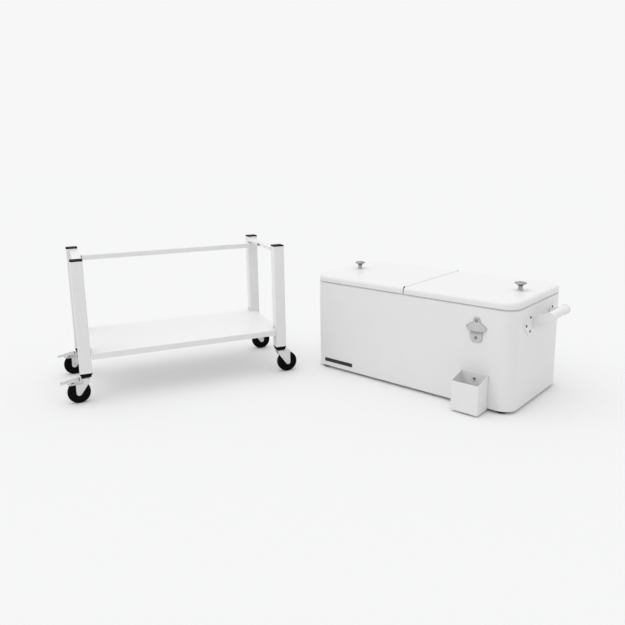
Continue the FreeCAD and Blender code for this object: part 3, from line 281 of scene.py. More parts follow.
def lofted(loops, closed=False):
    """A mesh skinned over loops of as many points each, capped at both ends where it isn't closed."""
    mesh = bmesh.new()
    rows = [[mesh.verts.new(point) for point in loop] for loop in loops]
    following = rows[1:] + rows[:1] if closed else rows[1:]
    for one, two in zip(rows, following):
        for i in range(len(one)):
            mesh.faces.new((one[i - 1], one[i], two[i], two[i - 1]))
    if not closed:
        mesh.faces.new(rows[0])
        mesh.faces.new(rows[-1])
    bmesh.ops.recalc_face_normals(mesh, faces=mesh.faces)
    return mesh


def build(name, mesh, place, body, material, stands_for=(), crease=sharp_angle):
    """Make a piece from a mesh, finish it, set it in place and let it ride on the body that carries it."""
    data = bpy.data.meshes.new(name)
    mesh.to_mesh(data)
    mesh.free()
    data.materials.append(material)
    data.polygons.foreach_set("use_smooth", [True] * len(data.polygons))
    data.set_sharp_from_angle(angle=crease)
    piece = bpy.data.objects.new(name, data)
    bpy.context.scene.collection.objects.link(piece)
    piece.matrix_world = place
    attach(piece, body)
    if stands_for:
        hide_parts(*stands_for)
    return piece


def weld_bead(inner, outer, depth):
    """A rippled bead under, beside and over a rail's end, with one leg on the post and one on the rail."""
    turns = [Vector(point) for point in (
        (inner, -depth / 2), (outer, -depth / 2), (outer, depth / 2), (inner, depth / 2),
    )]
    loops = []
    for start, end in zip(turns, turns[1:]):
        along = (end - start).normalized()
        count = round((end - start).length / bead_pitch)
        for i in range(count):
            ripple = math.cos(2 * math.pi * i / bead_ripple_steps)
            size = bead_size * (1 + bead_ripple_share * ripple)
            foot = start.lerp(end, i / count)
            outward = Vector((along.y, -along.x))
            loops.append([(*(foot + outward * out * size), up * size) for out, up in bead_shares])
    return lofted(loops)


def fill_weld(inner, depth):
    """A bead that closes the strip of a rail's end which reaches past the post's inner face."""
    reach = rail_width / 2 + rail_inset - inner
    return lofted([
        [(-inner - reach * out, along, -bead_size * down) for out, down in fill_shares]
        for along in (-depth / 2, -depth / 4, 0, depth / 4, depth / 2)
    ])


swivels = [Vector(joints[f"swivel_{corner}"]["pos_m"]) for corner in corners]
middle = sum(swivels, Vector()) / len(corners)
across = Vector(joints["swivel_right_front"]["pos_m"]) - Vector(joints["swivel_left_front"]["pos_m"])
cart = frame_at(middle, across)
white_coat = coated(
    "white_coat", tones=(white_shade, white_tone), rough=(0.34, 0.42), grain=900, depth=0.00002,
)
dress(white_coat, tube_edge, "side_frame_left", "side_frame_right")
for corner in corners:
    post = cart.inverted() @ Vector(joints[f"swivel_{corner}"]["pos_m"])
    out = Vector((math.copysign(1, post.x), 0, 0))
    inward = Vector((0, -math.copysign(1, post.y), 0))
    turned = Matrix((out, inward.cross(out), inward)).transposed().to_4x4()
    for rail, (low, high) in rail_levels.items():
        face = Vector((post.x, post.y, (low + high) / 2)) + inward * post_depth / 2
        bead = weld_bead(-post_width / 2, rail_width / 2 - rail_inset, high - low)
        place = cart @ Matrix.Translation(face) @ turned
        build(f"{rail}_weld_{corner}", bead, place, "cart", white_coat)
        build(f"{rail}_fill_{corner}", fill_weld(post_width / 2, high - low), place, "cart", white_coat)

# Rear bar: one tube across the back of the cart, plugged at both ends and sprayed with its plugs. A
# steel button-head bolt through each rear post holds it. A larger one stands inside each top rail.
plug_edge = 0.0012
button_rise_share = 0.7
bolt_socket_share = 0.55
bolt_socket_floor_share = 0.528
button_shares = (
    (1, -1, 0), (0.99, -0.75, 0), (0.94, -0.45, 0), (0.82, -0.18, 0), (0.68, -0.04, 0),
    (0.6, 0, 0), (bolt_socket_share, -0.04, 1), (bolt_socket_floor_share, -0.75, 1),
)
grain_stretch = (1, 1, 0.06)
crystal_share = 0.6
painted_crease_shade_tone = grey(0.01)


def plated(name, tones, rough, patch, streak, depth, crease=0, **uniform):
    """A metal finish: crystal patches of close tones, streaks one way and, if given, painted shade
    darkening its creases.
    """
    made, start = blank_material(name)
    place = start.add("TexCoord", output=3)
    patches = start.add("TexVoronoi", {"feature": "SMOOTH_F1"}, {"Vector": place, "Scale": patch})
    drawn = start.add("Mapping", None, {"Vector": place, "Scale": grain_stretch})
    streaks = start.add("TexNoise", None, {"Vector": drawn, "Scale": streak, "Detail": 4})
    bump = start.add("Bump", None, {"Height": streaks, "Distance": depth, "Strength": 0.5})
    roughness = streaks * (rough[1] - rough[0]) + rough[0]
    tone = (patches * crystal_share + streaks * (1 - crystal_share)).blend(*tones)
    if crease:
        # Where ambient occlusion finds other surfaces close, the colour goes near black: painted shade in
        # creases and hollows.
        painted_shade_openness = start.add("AmbientOcclusion", {"samples": painted_shade_samples}, {"Distance": crease}, output=1)
        tone = (painted_shade_openness * painted_shade_openness).blend(painted_crease_shade_tone, tone)
    sockets = {"Base Color": tone, "Roughness": roughness, "Normal": bump}
    sockets.update({key.replace("_", " "): value for key, value in uniform.items()})
    start.add("OutputMaterial", None, {"Surface": start.add("BsdfPrincipled", None, sockets)})
    return made


def hexagon(angle):
    """How far a hexagon's outline reaches at an angle, as a share of its corners' radius."""
    return math.cos(math.pi / 6) / math.cos(angle % (math.pi / 3) - math.pi / 6)


def spun(profile, form=None, steps=48, closed=False):
    """A mesh turned about Z from radius, height and, if given, how far a ring takes the form's outline."""
    loops = []
    for radius, height, *taken in profile:
        loop = []
        for i in range(steps):
            angle = 2 * math.pi * i / steps
            reach = radius * (1 + (form(angle) - 1) * taken[0]) if taken else radius
            loop.append((reach * math.cos(angle), reach * math.sin(angle), height))
        loops.append(loop)
    return lofted(loops, closed)


def facing(point, direction):
    """A place at a point whose +Z looks along a direction."""
    return Matrix.Translation(point) @ Vector(direction).to_track_quat("Z", "Y").to_matrix().to_4x4()


def solids(name, place=Matrix()):
    """Number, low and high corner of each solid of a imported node, in a place's axes.

    Each also has the list of nodes that its piece replaces: the first one's names this node.
    """
    mesh = bmesh.new()
    mesh.from_mesh(nodes[name].data)
    bmesh.ops.transform(mesh, matrix=place.inverted(), verts=mesh.verts)
    bmesh.ops.remove_doubles(mesh, verts=mesh.verts, dist=same_spot)
    left = set(mesh.verts)
    boxes = []
    while left:
        group = [left.pop()]
        for vertex in group:
            for edge in vertex.link_edges:
                other = edge.other_vert(vertex)
                if other in left:
                    left.remove(other)
                    group.append(other)
        low = Vector([min(vertex.co[axis] for vertex in group) for axis in range(3)])
        high = Vector([max(vertex.co[axis] for vertex in group) for axis in range(3)])
        boxes.append((low, high))
    mesh.free()
    boxes.sort(key=lambda box: tuple(round(value, 4) for value in box[0]))
    return [(i, low, high, [] if i else [name]) for i, (low, high) in enumerate(boxes)]


def button_bolts(node, kind, material):
    """Domed bolt heads with a hexagon socket, where the cart's packed bolts have their heads."""
    for number, low, high, stands_for in solids(node, cart):
        radius = (high.z - low.z) / 2
        centre = (low + high) / 2
        if high.x - low.x > high.y - low.y:
            tip = Vector((low.x if centre.x > 0 else high.x, centre.y, centre.z))
            out = Vector((-math.copysign(1, centre.x), 0, 0))
        else:
            tip = Vector((centre.x, high.y, centre.z))
            out = Vector((0, 1, 0))
        rise = radius * button_rise_share
        profile = [(radius * share, rise * up, taken) for share, up, taken in button_shares]
        head = spun(profile, hexagon)
        build(f"{kind}_{number}", head, cart @ facing(tip, out), "cart", material, stands_for)


steel_screw = plated(
    "steel_screw", tones=(grey(0.3), grey(0.42)), rough=(0.2, 0.3),
    patch=200, streak=900, depth=0.00001, Metallic=1,
)
dress(white_coat, tube_edge, "rear_bar")
dress(white_coat, plug_edge, "bar_end_plugs")
button_bolts("frame_bolts", "frame_bolt", steel_screw)

# Shelf: one folded sheet between the side frames, its lips turned down and its corner tabs up. A pale
# plated button-head bolt through each tab holds it to its post.
shelf_bend = 0.0022
shelf_bend_shortest = 0.2
shelf_edge = 0.0003
level_from = 0.9
upright_to = 0.1
bend_steps = 5
round_bend = 0.5


def copied(name):
    """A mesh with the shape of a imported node."""
    mesh = bmesh.new()
    mesh.from_mesh(nodes[name].data)
    bmesh.ops.remove_doubles(mesh, verts=mesh.verts, dist=same_spot)
    return mesh


def folded(name, radius, shortest, is_bend):
    """A packed sheet piece whose bends are rounded: its longer edges that the rule picks."""
    mesh = copied(name)
    bmesh.ops.dissolve_limit(mesh, angle_limit=flat_angle, verts=mesh.verts, edges=mesh.edges)
    bends = []
    for edge in mesh.edges:
        if len(edge.link_faces) == 2 and edge.calc_length() > shortest:
            along = (edge.verts[1].co - edge.verts[0].co).normalized()
            if is_bend(along, *[face.normal for face in edge.link_faces]):
                bends.append(edge)
    bmesh.ops.bevel(
        mesh, geom=bends, offset=radius, segments=bend_steps, profile=round_bend, affect="EDGES",
        clamp_overlap=False,
    )
    return mesh


def top_bend(along, one, two):
    """Whether an edge lies between a sheet's upper face and an upright one."""
    return max(one.z, two.z) > level_from and min(abs(one.z), abs(two.z)) < upright_to


zinc_plate = plated(
    "zinc_plate", tones=(grey(0.64), grey(0.78)), rough=(0.3, 0.48),
    patch=260, streak=900, depth=0.00002, Metallic=0.5,
)
shelf = folded("shelf", shelf_bend, shelf_bend_shortest, top_bend)
soften(build("folded_shelf", shelf, Matrix(), "cart", white_coat, ["shelf"]), shelf_edge)
button_bolts("shelf_bolts", "shelf_bolt", zinc_plate)

# Post ends: each post is closed by a cap at the top and by the caster's stem socket below. Both are
# moulded in black plastic and knocked into the tube.
cap_edge = 0.0006

black_plastic = coated(
    "black_plastic", tones=(grey(0.003), grey(0.006)), rough=(0.45, 0.6),
    grain=700, depth=0.00003, Specular_IOR_Level=0.05,
)
dress(black_plastic, cap_edge, "post_caps", "caster_sockets")

# Caster stems: a plated stem in each socket, with the ball race's domed cover above the fork and the
# stem's riveted head below it.
race_profile = (
    (0.003, -0.0080), (0.0072, -0.0076), (0.0098, -0.0062), (0.0098, -0.0044), (0.005, -0.0044),
    (0.005, 0.0003), (0.0152, 0.0003), (0.016, 0.0009), (0.0152, 0.0017), (0.0136, 0.0028),
    (0.0118, 0.0035), (0.005, 0.0035), (0.005, 0.036), (0.004, 0.0375),
)
for corner in corners:
    place = Matrix.Translation(joints[f"swivel_{corner}"]["pos_m"])
    stands_for = ["caster_stems"] if corner == corners[0] else []
    build(f"caster_stem_{corner}", spun(race_profile), place, "cart", zinc_plate, stands_for)

# Casters: pressed forks that swivel on the stems. A solid black wheel turns in each on a hex bolt and
# nut, which have a washer under them.
axle_profile = (
    (0.0045, 0.0200, 0), (0.0056, 0.0198, 0.4), (0.0066, 0.0192, 1), (0.0066, 0.0175, 1),
    (0.0073, 0.0174, 0), (0.0075, 0.0171, 0), (0.0075, 0.0165, 0), (0.004, 0.0165, 0),
)
fork_bend = 0.004
fork_bend_shortest = 0.03
fork_edge = 0.0006
wheel_profile = (
    (0.00405, 0.013), (0.0088, 0.013), (0.0098, 0.0124), (0.0104, 0.0096), (0.0116, 0.0086),
    (0.019, 0.0078), (0.0272, 0.0084), (0.0288, 0.0094), (0.0294, 0.0114), (0.0302, 0.012),
    (0.033, 0.0119), (0.0352, 0.0112), (0.0368, 0.0096), (0.0377, 0.007), (0.038, 0.0035),
)


def both_ways(profile):
    """A profile followed by its mirror image, from the high end to the low end."""
    return list(profile) + [(radius, -height, *taken) for radius, height, *taken in reversed(profile)]


stainless = plated(
    "stainless", tones=(grey(0.6), grey(0.76)), rough=(0.14, 0.24),
    patch=60, streak=1200, depth=0.000004, Metallic=0.75,
)
wheel_black = coated(
    "wheel_black", tones=(grey(0.002), grey(0.005)), rough=(0.42, 0.6),
    grain=400, depth=0.00004, patch=40, Specular_IOR_Level=0.05,
)
for corner in corners:
    spin = joints[f"spin_{corner}"]
    place = facing(spin["pos_m"], spin["axis"])
    fork = folded(f"fork_{corner}", fork_bend, fork_bend_shortest, top_bend)
    fork = build(
        f"pressed_fork_{corner}", fork, Matrix(), f"caster_{corner}", zinc_plate, [f"fork_{corner}"],
    )
    soften(fork, fork_edge)
    axle = spun(both_ways(axle_profile), hexagon)
    build(f"axle_bolt_{corner}", axle, place, f"caster_{corner}", stainless, [f"axle_{corner}"])
    wheel = spun(both_ways(wheel_profile), steps=72, closed=True)
    build(f"solid_wheel_{corner}", wheel, place, f"wheel_{corner}", wheel_black, [f"wheel_{corner}"])

# Brake pedals: on the left casters a folded plate pivots on two rivets of the fork and reaches over
# the wheel to a narrow tip. A long slot lightens each cheek, just under the plate.
slot_length = 0.018
slot_width = 0.003
slot_behind = 0.049
slot_height = 0.0764
slot_slope = math.radians(10)
slot_overrun = 0.0038
cheek_reach = 0.019
pedal_bend = 0.0025
pedal_bend_shortest = 0.02
pedal_edge = 0.0005
rivet_profile = (
    (0.0025, -0.001), (0.0038, 0), (0.0038, 0.0004), (0.0032, 0.001), (0.002, 0.0014), (0.0008, 0.0015),
)


def applied(piece):
    """Turn what a piece's modifiers make into its mesh."""
    bpy.context.view_layer.update()
    shape = bpy.data.meshes.new_from_object(piece.evaluated_get(bpy.context.evaluated_depsgraph_get()))
    piece.modifiers.clear()
    piece.data = shape


def carve(piece, tool_mesh):
    """Cut a tool's shape, given in the piece's own axes, out of the piece."""
    data = bpy.data.meshes.new("tool")
    tool_mesh.to_mesh(data)
    tool_mesh.free()
    tool = bpy.data.objects.new("tool", data)
    bpy.context.scene.collection.objects.link(tool)
    tool.matrix_world = piece.matrix_world
    cutter = piece.modifiers.new("carve", "BOOLEAN")
    cutter.object = tool
    cutter.solver = "EXACT"
    applied(piece)
    bpy.data.objects.remove(tool)


def rounded_loop(half_x, half_y, corner, height, steps=5):
    """A loop round a rectangle with rounded corners."""
    loop = []
    for quarter, (x, y) in enumerate(((1, 1), (-1, 1), (-1, -1), (1, -1))):
        centre_x = x * (half_x - corner)
        centre_y = y * (half_y - corner)
        for i in range(steps + 1):
            angle = math.pi / 2 * (quarter + i / steps)
            loop.append((centre_x + corner * math.cos(angle), centre_y + corner * math.sin(angle), height))
    return loop


worn_zinc = plated(
    "worn_zinc", tones=(grey(0.46), grey(0.6)), rough=(0.3, 0.48),
    patch=260, streak=900, depth=0.00002, Metallic=0.7,
)
slot_depth = cheek_reach + slot_overrun
for end in ends:
    corner = f"left_{end}"
    swivel = Vector(joints[f"swivel_{corner}"]["pos_m"])
    caster = frame_at(swivel, swivel - Vector(joints[f"spin_{corner}"]["pos_m"]))
    pedal = folded(f"brake_pedal_{end}", pedal_bend, pedal_bend_shortest, top_bend)
    pedal = build(
        f"folded_pedal_{end}", pedal, Matrix(), f"pedal_{end}", worn_zinc, [f"brake_pedal_{end}"],
    )
    slot = lofted([
        rounded_loop(slot_length / 2, slot_width / 2, slot_width / 2, depth)
        for depth in (-slot_depth, slot_depth)
    ])
    place = caster @ Matrix.Translation((-slot_behind, 0, slot_height))
    place = place @ Matrix.Rotation(-slot_slope, 4, "Y") @ Matrix.Rotation(math.pi / 2, 4, "X")
    bmesh.ops.transform(slot, matrix=place, verts=slot.verts)
    carve(pedal, slot)
    soften(pedal, pedal_edge)
    pivot = caster.inverted() @ Vector(joints[f"brake_{end}"]["pos_m"])
    for cheek, sign in (("inner", -1), ("outer", 1)):
        outside = caster @ Vector((pivot.x, sign * cheek_reach, pivot.z))
        out = caster.to_3x3() @ Vector((0, sign, 0))
        name = f"pedal_rivet_{end}_{cheek}"
        build(name, spun(rivet_profile), facing(outside, out), f"caster_{corner}", stainless)

# Tub casing: a coated steel sheet shell with wide round corners, turned in at the rim. A shallow
# coated pan closes it below.
sheet_edge = 0.0002

dress(white_coat, sheet_edge, "tub_shell", "base_pan")

# Insulation and basin: poured foam with open cells fills the space behind a white moulded liner. A
# soft grey gasket strip lies on the liner's flange, where the lids close.
gasket_corner = 0.043
gasket_width = 0.008
gasket_height = 0.0037
gasket_shares = (
    (0, 0), (0, 0.85), (-0.08, 1), (-0.3, 1), (-0.42, 0.8), (-0.58, 0.8), (-0.7, 1), (-0.92, 1),
    (-1, 0.85), (-1, 0),
)
foam_tones = ((0.62, 0.55, 0.34, 1), (0.75, 0.68, 0.45, 1))
moulding_edge = 0.0005


def packed_box(name):
    """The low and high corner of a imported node."""
    return [Vector(point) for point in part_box(name)]


def foamed(name, tones, rough, cell, depth):
    """A matt finish of round open cells."""
    made, start = blank_material(name)
    place = start.add("TexCoord", output=3)
    cells = start.add("TexVoronoi", None, {"Vector": place, "Scale": cell})
    bump = start.add("Bump", None, {"Height": cells, "Distance": depth, "Strength": 1})
    roughness = cells * (rough[1] - rough[0]) + rough[0]
    sockets = {"Base Color": cells.blend(*tones), "Roughness": roughness, "Normal": bump}
    start.add("OutputMaterial", None, {"Surface": start.add("BsdfPrincipled", None, sockets)})
    return made


white_moulding = coated(
    "white_moulding", tones=(grey(0.745), grey(0.78)), rough=(0.28, 0.4), grain=300, depth=0.00002,
)
foam = foamed("foam", tones=foam_tones, rough=(0.85, 0.95), cell=700, depth=0.0004)
grey_rubber = coated(
    "grey_rubber", tones=(grey(0.5), grey(0.58)), rough=(0.6, 0.75), grain=600, depth=0.00004,
)
dress(white_moulding, moulding_edge, "tub_liner")
dress(foam, 0, "foam_core")
low, high = packed_box("rim_gasket")
gasket_half = (high - low) / 2
gasket = lofted(closed=True, loops=[
    rounded_loop(
        gasket_half.x + out * gasket_width, gasket_half.y + out * gasket_width,
        gasket_corner + out * gasket_width, up * gasket_height, steps=12,
    )
    for out, up in gasket_shares
])
gasket_place = Matrix.Translation(((low.x + high.x) / 2, (low.y + high.y) / 2, low.z))
build("gasket_strip", gasket, gasket_place, "tub", grey_rubber, ["rim_gasket"])

# Feet: four black rubber pucks with two grooves round them stand under the base pan. Each is held by
# a cross-recess screw sunk in it.
foot_profile = (
    (0.0052, 0.003), (0.0052, 0), (0.0175, 0), (0.0194, 0.0012), (0.02, 0.0028), (0.02, 0.0042),
    (0.0192, 0.0048), (0.02, 0.0054), (0.02, 0.0068), (0.0192, 0.0074), (0.02, 0.008),
    (0.02, 0.0105), (0.0194, 0.011), (0.0025, 0.011), (0.0025, 0.006), (0.0052, 0.006),
)
cross_shares = (
    (0.97, -1, 0), (1, -0.8, 0), (0.96, -0.45, 0), (0.84, -0.16, 0), (0.7, 0, 0), (0.62, -0.02, 1),
    (0.5, -0.6, 1), (0.2, -0.7, 1),
)
cross_arm_share = 0.26
screw_tip_shares = (0.8, 0.4)
foot_screw_head = 0.003
foot_screw_shank = 0.0025


def cross(angle):
    """How far a cross recess reaches at an angle, as a share of its arms' length."""
    turned = (angle + math.pi / 4) % (math.pi / 2) - math.pi / 4
    return min(1 / math.cos(turned), cross_arm_share / max(abs(math.sin(turned)), cross_arm_share / 2))


def cross_screws(node, kind, head, shank, out, material):
    """Pan-head screws with a cross recess in place of a node's packed ones, with their heads outwards."""
    narrow, long = screw_tip_shares
    for number, low, high, stands_for in solids(node):
        radius = (high.x - low.x) / 2
        length = abs((high - low).dot(out))
        profile = [(shank * narrow, -length), (shank, shank * long - length), (shank, -head)]
        profile += [(radius * share, head * up, taken) for share, up, taken in cross_shares]
        screw = spun(profile, cross)
        top = facing((low + high + out * length) / 2, out)
        build(f"{kind}_{number}", screw, top, "tub", material, stands_for)


black_rubber = coated(
    "black_rubber", tones=(grey(0.005), grey(0.01)), rough=(0.5, 0.7),
    grain=500, depth=0.00004, Specular_IOR_Level=0.2,
)
for number, low, high, stands_for in solids("tub_feet"):
    place = Matrix.Translation(((low.x + high.x) / 2, (low.y + high.y) / 2, low.z))
    build(f"foot_{number}", spun(foot_profile, closed=True), place, "tub", black_rubber, stands_for)
downwards = Vector((0, 0, -1))
cross_screws("foot_screws", "foot_screw", foot_screw_head, foot_screw_shank, downwards, zinc_plate)

# Centre bar: a folded coated channel across the mouth, screwed down at both ends, which the lids
# close on. It carries the hinge's fixed leaf.
bar_screw_head = 0.0019
bar_screw_shank = 0.0018

dress(white_coat, sheet_edge, "hinge_bar")
upwards = Vector((0, 0, 1))
cross_screws("hinge_bar_screws", "hinge_bar_screw", bar_screw_head, bar_screw_shank, upwards, stainless)

# Lid hinge: three coated leaves, one on the centre bar and one under each lid, are rolled round one
# long dark pin. A small domed head at each end keeps it in.
pin_radius = 0.0013
pin_head_shares = ((0.2, 1), (0.6, 0.92), (0.88, 0.7), (1, 0.4), (0.86, 0))
pin_head_radius = 0.00265
pin_head_length = 0.004
pin_head_inside = 0.0016

dress(white_coat, sheet_edge, "hinge_fixed_leaf", "hinge_leaf_left", "hinge_leaf_right")
low, high = packed_box("hinge_pin")
pin_end = (high.y - low.y) / 2 - pin_head_inside
pin_profile = [
    (pin_head_radius * share, pin_end + pin_head_length * up) for share, up in pin_head_shares
]
pin_profile.append((pin_radius, pin_end))
pin = spun(both_ways(pin_profile), steps=24)
build("long_pin", pin, facing((low + high) / 2, (0, 1, 0)), "tub", black_plastic, ["hinge_pin"])

# Lids: coated shells with a softly rounded edge, over foam, with a moulded inner panel. A turned
# chrome knob, drawn in to a stem and flared to a sharp rim, is held through each lid by its stud.
knob_shares = (
    (0.15, -0.5), (0.15, 0), (0.47, 0), (0.45, 0.03), (0.4, 0.08), (0.375, 0.16), (0.365, 0.32),
    (0.385, 0.46), (0.46, 0.55), (0.62, 0.64), (0.8, 0.71), (0.95, 0.765), (1, 0.79), (1, 0.84),
    (0.96, 0.87), (0.88, 0.9), (0.7, 0.94), (0.45, 0.975), (0.2, 0.995), (0.03, 1),
)
knob_radius = 0.0205
knob_height = 0.031
knob_stand = 0.028
lid_edge = 0.0003

bright_chrome = plated(
    "bright_chrome", tones=(grey(0.34), grey(0.4)), rough=(0.06, 0.14),
    patch=40, streak=500, depth=0.000004, Metallic=1,
)
for side in sides:
    dress(white_coat, lid_edge, f"lid_shell_{side}")
    dress(white_moulding, moulding_edge, f"lid_panel_{side}")
    dress(foam, 0, f"lid_foam_{side}")
    low, high = packed_box(f"lid_knob_{side}")
    place = Matrix.Translation(((low.x + high.x) / 2, (low.y + high.y) / 2, high.z - knob_stand))
    profile = [(knob_radius * share, knob_height * up) for share, up in knob_shares]
    knob = spun(profile, steps=64)
    build(f"turned_knob_{side}", knob, place, f"lid_{side}", bright_chrome, [f"lid_knob_{side}"])

# Badge: a bare dark plate with a raised rim, stamped from thin metal and stuck to the front wall,
# near its bottom left corner.
badge_insets = ((0, 0), (0, 0.75), (0.0004, 1), (0.0012, 1), (0.0015, 0.6))
badge_corner = 0.0022

badge_black = coated(
    "badge_plate", tones=(grey(0.012), grey(0.022)), rough=(0.3, 0.42),
    grain=700, depth=0.00001, patch=60, Specular_IOR_Level=0.4,
)
low, high = packed_box("badge_plate")
half = (high - low) / 2
badge = lofted([
    rounded_loop(half.x - inset, half.z - inset, badge_corner - inset, (high.y - low.y) * up)
    for inset, up in badge_insets
])
place = facing(((low.x + high.x) / 2, high.y, (low.z + high.z) / 2), (0, -1, 0))
build("rimmed_badge", badge, place, "tub", badge_black, ["badge_plate"])

# Bottle opener: one casting, its edges and corners softened by the mould, with a hood over the tongue
# that catches a crown cap. Two steel cross-recess screws hold it, and a third carries the cap bin.
cast_grain = 0.0006
cast_passes = 12
front_screw_head = 0.0026
front_screw_shank = 0.002

# Its colour goes near black within 2 cm of other surfaces: painted shade under the hood and round the
# screws.
cast_steel = plated(
    "cast_steel", tones=(grey(0.5), grey(0.64)), rough=(0.1, 0.18),
    patch=60, streak=1200, depth=0.000003, crease=0.02, Metallic=1,
)
opener = build(
    "cast_opener", copied("bottle_opener"), Matrix(), "tub", cast_steel, ["bottle_opener"],
)
remesh = opener.modifiers.new("grain", "REMESH")
remesh.mode = "VOXEL"
remesh.voxel_size = cast_grain
relax = opener.modifiers.new("relax", "SMOOTH")
relax.iterations = cast_passes
applied(opener)
opener.data.polygons.foreach_set("use_smooth", [True] * len(opener.data.polygons))
forwards = Vector((0, -1, 0))
cross_screws(
    "front_screws", "front_screw", front_screw_head, front_screw_shank, forwards, steel_screw,
)

# Cap bin: a folded coated sheet box with round bends, open at the top, its rim lower at the front. It
# hangs on its screw by the keyhole in its back.
bin_sheet = 0.0015
bin_bend = 0.003
bin_chamfer = 0.0004
bin_inner_shares = (1.5, 1.6)
bin_edge = 0.0004
bin_front_rise = 0.099
keyhole_rise = 0.097
keyhole_drop = 0.012
keyhole_wide = 0.0048
keyhole_slim = 0.0023

low, high = packed_box("cap_bin")
half = (high - low) / 2


def bin_loop(inset, height):
    """A level loop round the bin, drawn in by an inset."""
    return rounded_loop(half.x - inset, half.y - inset, bin_bend - inset, height)


def bin_rim(inset):
    """A loop along the bin's sloping rim, drawn in by an inset."""
    slope = (2 * half.z - bin_front_rise) / (2 * half.y)
    return [(x, y, bin_front_rise + (y + half.y) * slope) for x, y, _ in bin_loop(inset, 0)]


floor_inset, wall_foot = (bin_sheet * share for share in bin_inner_shares)
bin_mesh = lofted([
    bin_loop(bin_sheet, 0), bin_loop(bin_chamfer, bin_chamfer), bin_loop(0, bin_sheet), bin_rim(0),
    bin_rim(bin_sheet), bin_loop(bin_sheet, wall_foot), bin_loop(floor_inset, bin_sheet),
])
bin_place = Matrix.Translation(((low.x + high.x) / 2, (low.y + high.y) / 2, low.z))
cap_bin = build(
    "folded_bin", bin_mesh, bin_place, "cap_bin", white_coat, ["cap_bin"], crease=math.radians(50),
)
for up, width, length in (
    (keyhole_rise - keyhole_drop, keyhole_wide, 2 * keyhole_wide),
    (keyhole_rise - keyhole_drop / 2, keyhole_slim, keyhole_drop + 2 * keyhole_slim),
):
    tool = lofted([
        rounded_loop(width, length / 2, width, depth) for depth in (-bin_sheet * 2, bin_sheet * 2)
    ])
    back = Matrix.Translation((0, half.y, up)) @ Matrix.Rotation(math.pi / 2, 4, "X")
    bmesh.ops.transform(tool, matrix=back, verts=tool.verts)
    carve(cap_bin, tool)
soften(cap_bin, bin_edge)

# Handles: bent coated brackets, each held to its end wall by three domed dark rivets, with a coated
# tube grip between each pair.
domed_shares = ((1, 0), (1, 0.12), (0.97, 0.35), (0.85, 0.65), (0.62, 0.88), (0.3, 0.98), (0.08, 1))
rivet_shank_radius = 0.0024
rivet_head_height = 0.002
handle_bend = 0.0035
handle_bend_shortest = 0.02
bracket_edge = 0.0006
grip_edge = 0.0005
straight_from = 0.99


def wall_bend(along, one, two):
    """Whether an edge lies between a bracket's arm and its flange on the end wall."""
    on_wall = max(abs(one.x), abs(two.x)) > straight_from
    return abs(along.z) > straight_from and abs(one.dot(two)) < upright_to and on_wall


black_screw = coated(
    "black_screw", tones=(grey(0.07), grey(0.11)), rough=(0.3, 0.45),
    grain=500, depth=0.00002, Metallic=0.8,
)
for corner in corners:
    packed = f"handle_bracket_{corner}"
    bracket = folded(packed, handle_bend, handle_bend_shortest, wall_bend)
    bracket = build(f"bent_bracket_{corner}", bracket, Matrix(), "tub", white_coat, [packed])
    soften(bracket, bracket_edge)
dress(white_coat, grip_edge, "handle_grip_left", "handle_grip_right")
shell_low, shell_high = packed_box("tub_shell")
for number, low, high, stands_for in solids("handle_rivets"):
    right = low.x > (shell_low.x + shell_high.x) / 2
    seat = high.x - rivet_head_height if right else low.x + rivet_head_height
    place = facing((seat, (low.y + high.y) / 2, (low.z + high.z) / 2), (1 if right else -1, 0, 0))
    profile = [(rivet_shank_radius, rivet_head_height - (high.x - low.x)), (rivet_shank_radius, 0)]
    profile += [((high.y - low.y) / 2 * share, rivet_head_height * up) for share, up in domed_shares]
    build(f"handle_rivet_{number}", spun(profile, steps=32), place, "tub", black_screw, stands_for)

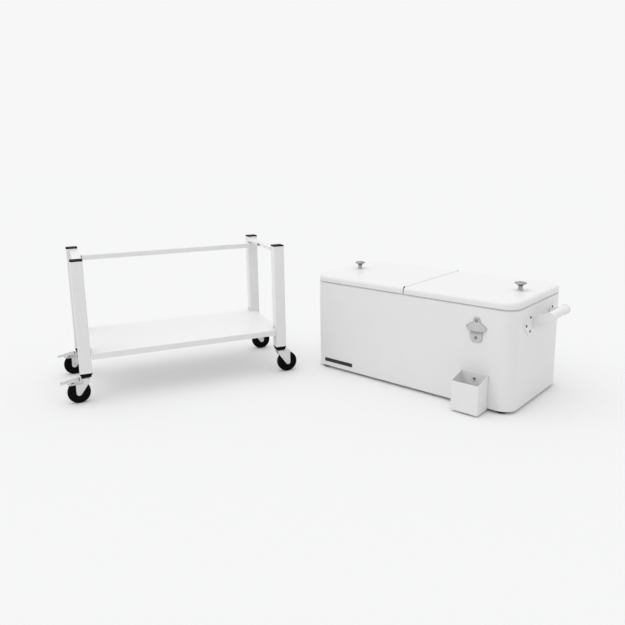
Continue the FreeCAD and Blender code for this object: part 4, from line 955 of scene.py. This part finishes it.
# Drain: a moulded threaded fitting through the rear wall, a hexagon nut on it inside the basin, and a
# ribbed screw cap outside.
bore_radius = 0.0065
pipe_radius = 0.008
thread_root = 0.0075
thread_pitch = 0.002
thread_shares = ((thread_root, 0.25), (pipe_radius, 0.6), (pipe_radius, 0.8))
flange_shares = ((0.97, 0), (1, 0.2), (1, 0.75), (0.95, 1))
flange_radius = 0.015
flange_thick = 0.003
cap_rib_count = 20
cap_rib_share = 0.05
cap_rib_steps = 8
nut_face_share = 0.86
nut_chamfer_share = 0.16
cap_shares = (
    (0.672, 0.857, 0), (0.672, 0, 0), (0.9, 0, 0), (1, 0.06, 1), (1, 0.88, 1), (0.95, 0.96, 0.5),
    (0.82, 1, 0), (0.5, 1, 0), (0.46, 0.98, 0), (0.1, 0.98, 0),
)

low, high = packed_box("drain_fitting")
pipe_place = facing(((low.x + high.x) / 2, low.y, (low.z + high.z) / 2), (0, 1, 0))
flange_at = shell_high.y - low.y
reach = high.y - low.y
fitting_profile = [(bore_radius, 0), (pipe_radius, 0), (pipe_radius, flange_at)]
fitting_profile += [(flange_radius * share, flange_at + flange_thick * up) for share, up in flange_shares]
thread_start = flange_at + flange_thick
thread_count = int((reach - thread_start) / thread_pitch)
for turn_number in range(thread_count):
    root = thread_start + turn_number * thread_pitch
    fitting_profile += [(radius, root + thread_pitch * share) for radius, share in thread_shares]
fitting_profile += [(thread_root, reach), (bore_radius, reach)]
fitting = spun(fitting_profile, closed=True)
build(
    "threaded_fitting", fitting, pipe_place, "tub", white_moulding, ["drain_fitting"],
    crease=math.radians(30),
)


def ribs(angle):
    """How far the screw cap's ribbed wall reaches at an angle."""
    return 1 - cap_rib_share * (1 - math.cos(cap_rib_count * angle)) / 2


low, high = packed_box("drain_cap")
cap_place = facing(((low.x + high.x) / 2, low.y, (low.z + high.z) / 2), (0, 1, 0))
profile = [
    ((high.x - low.x) / 2 * share, (high.y - low.y) * up, taken) for share, up, taken in cap_shares
]
ribbed_cap = spun(profile, ribs, steps=cap_rib_count * cap_rib_steps)
build("ribbed_cap", ribbed_cap, cap_place, "drain_cap", white_moulding, ["drain_cap"])
low, high = packed_box("drain_nut")
thick = high.y - low.y
radius = (high.x - low.x) / 2
nut_profile = (
    (pipe_radius, 0, 0), (radius * nut_face_share, 0, 0), (radius, thick * nut_chamfer_share, 1),
    (radius, thick, 1), (pipe_radius, thick, 0),
)
nut_place = facing(((low.x + high.x) / 2, low.y, (low.z + high.z) / 2), (0, 1, 0))
nut = spun(nut_profile, hexagon, closed=True)
build("hexagon_nut", nut, nut_place, "tub", white_moulding, ["drain_nut"])
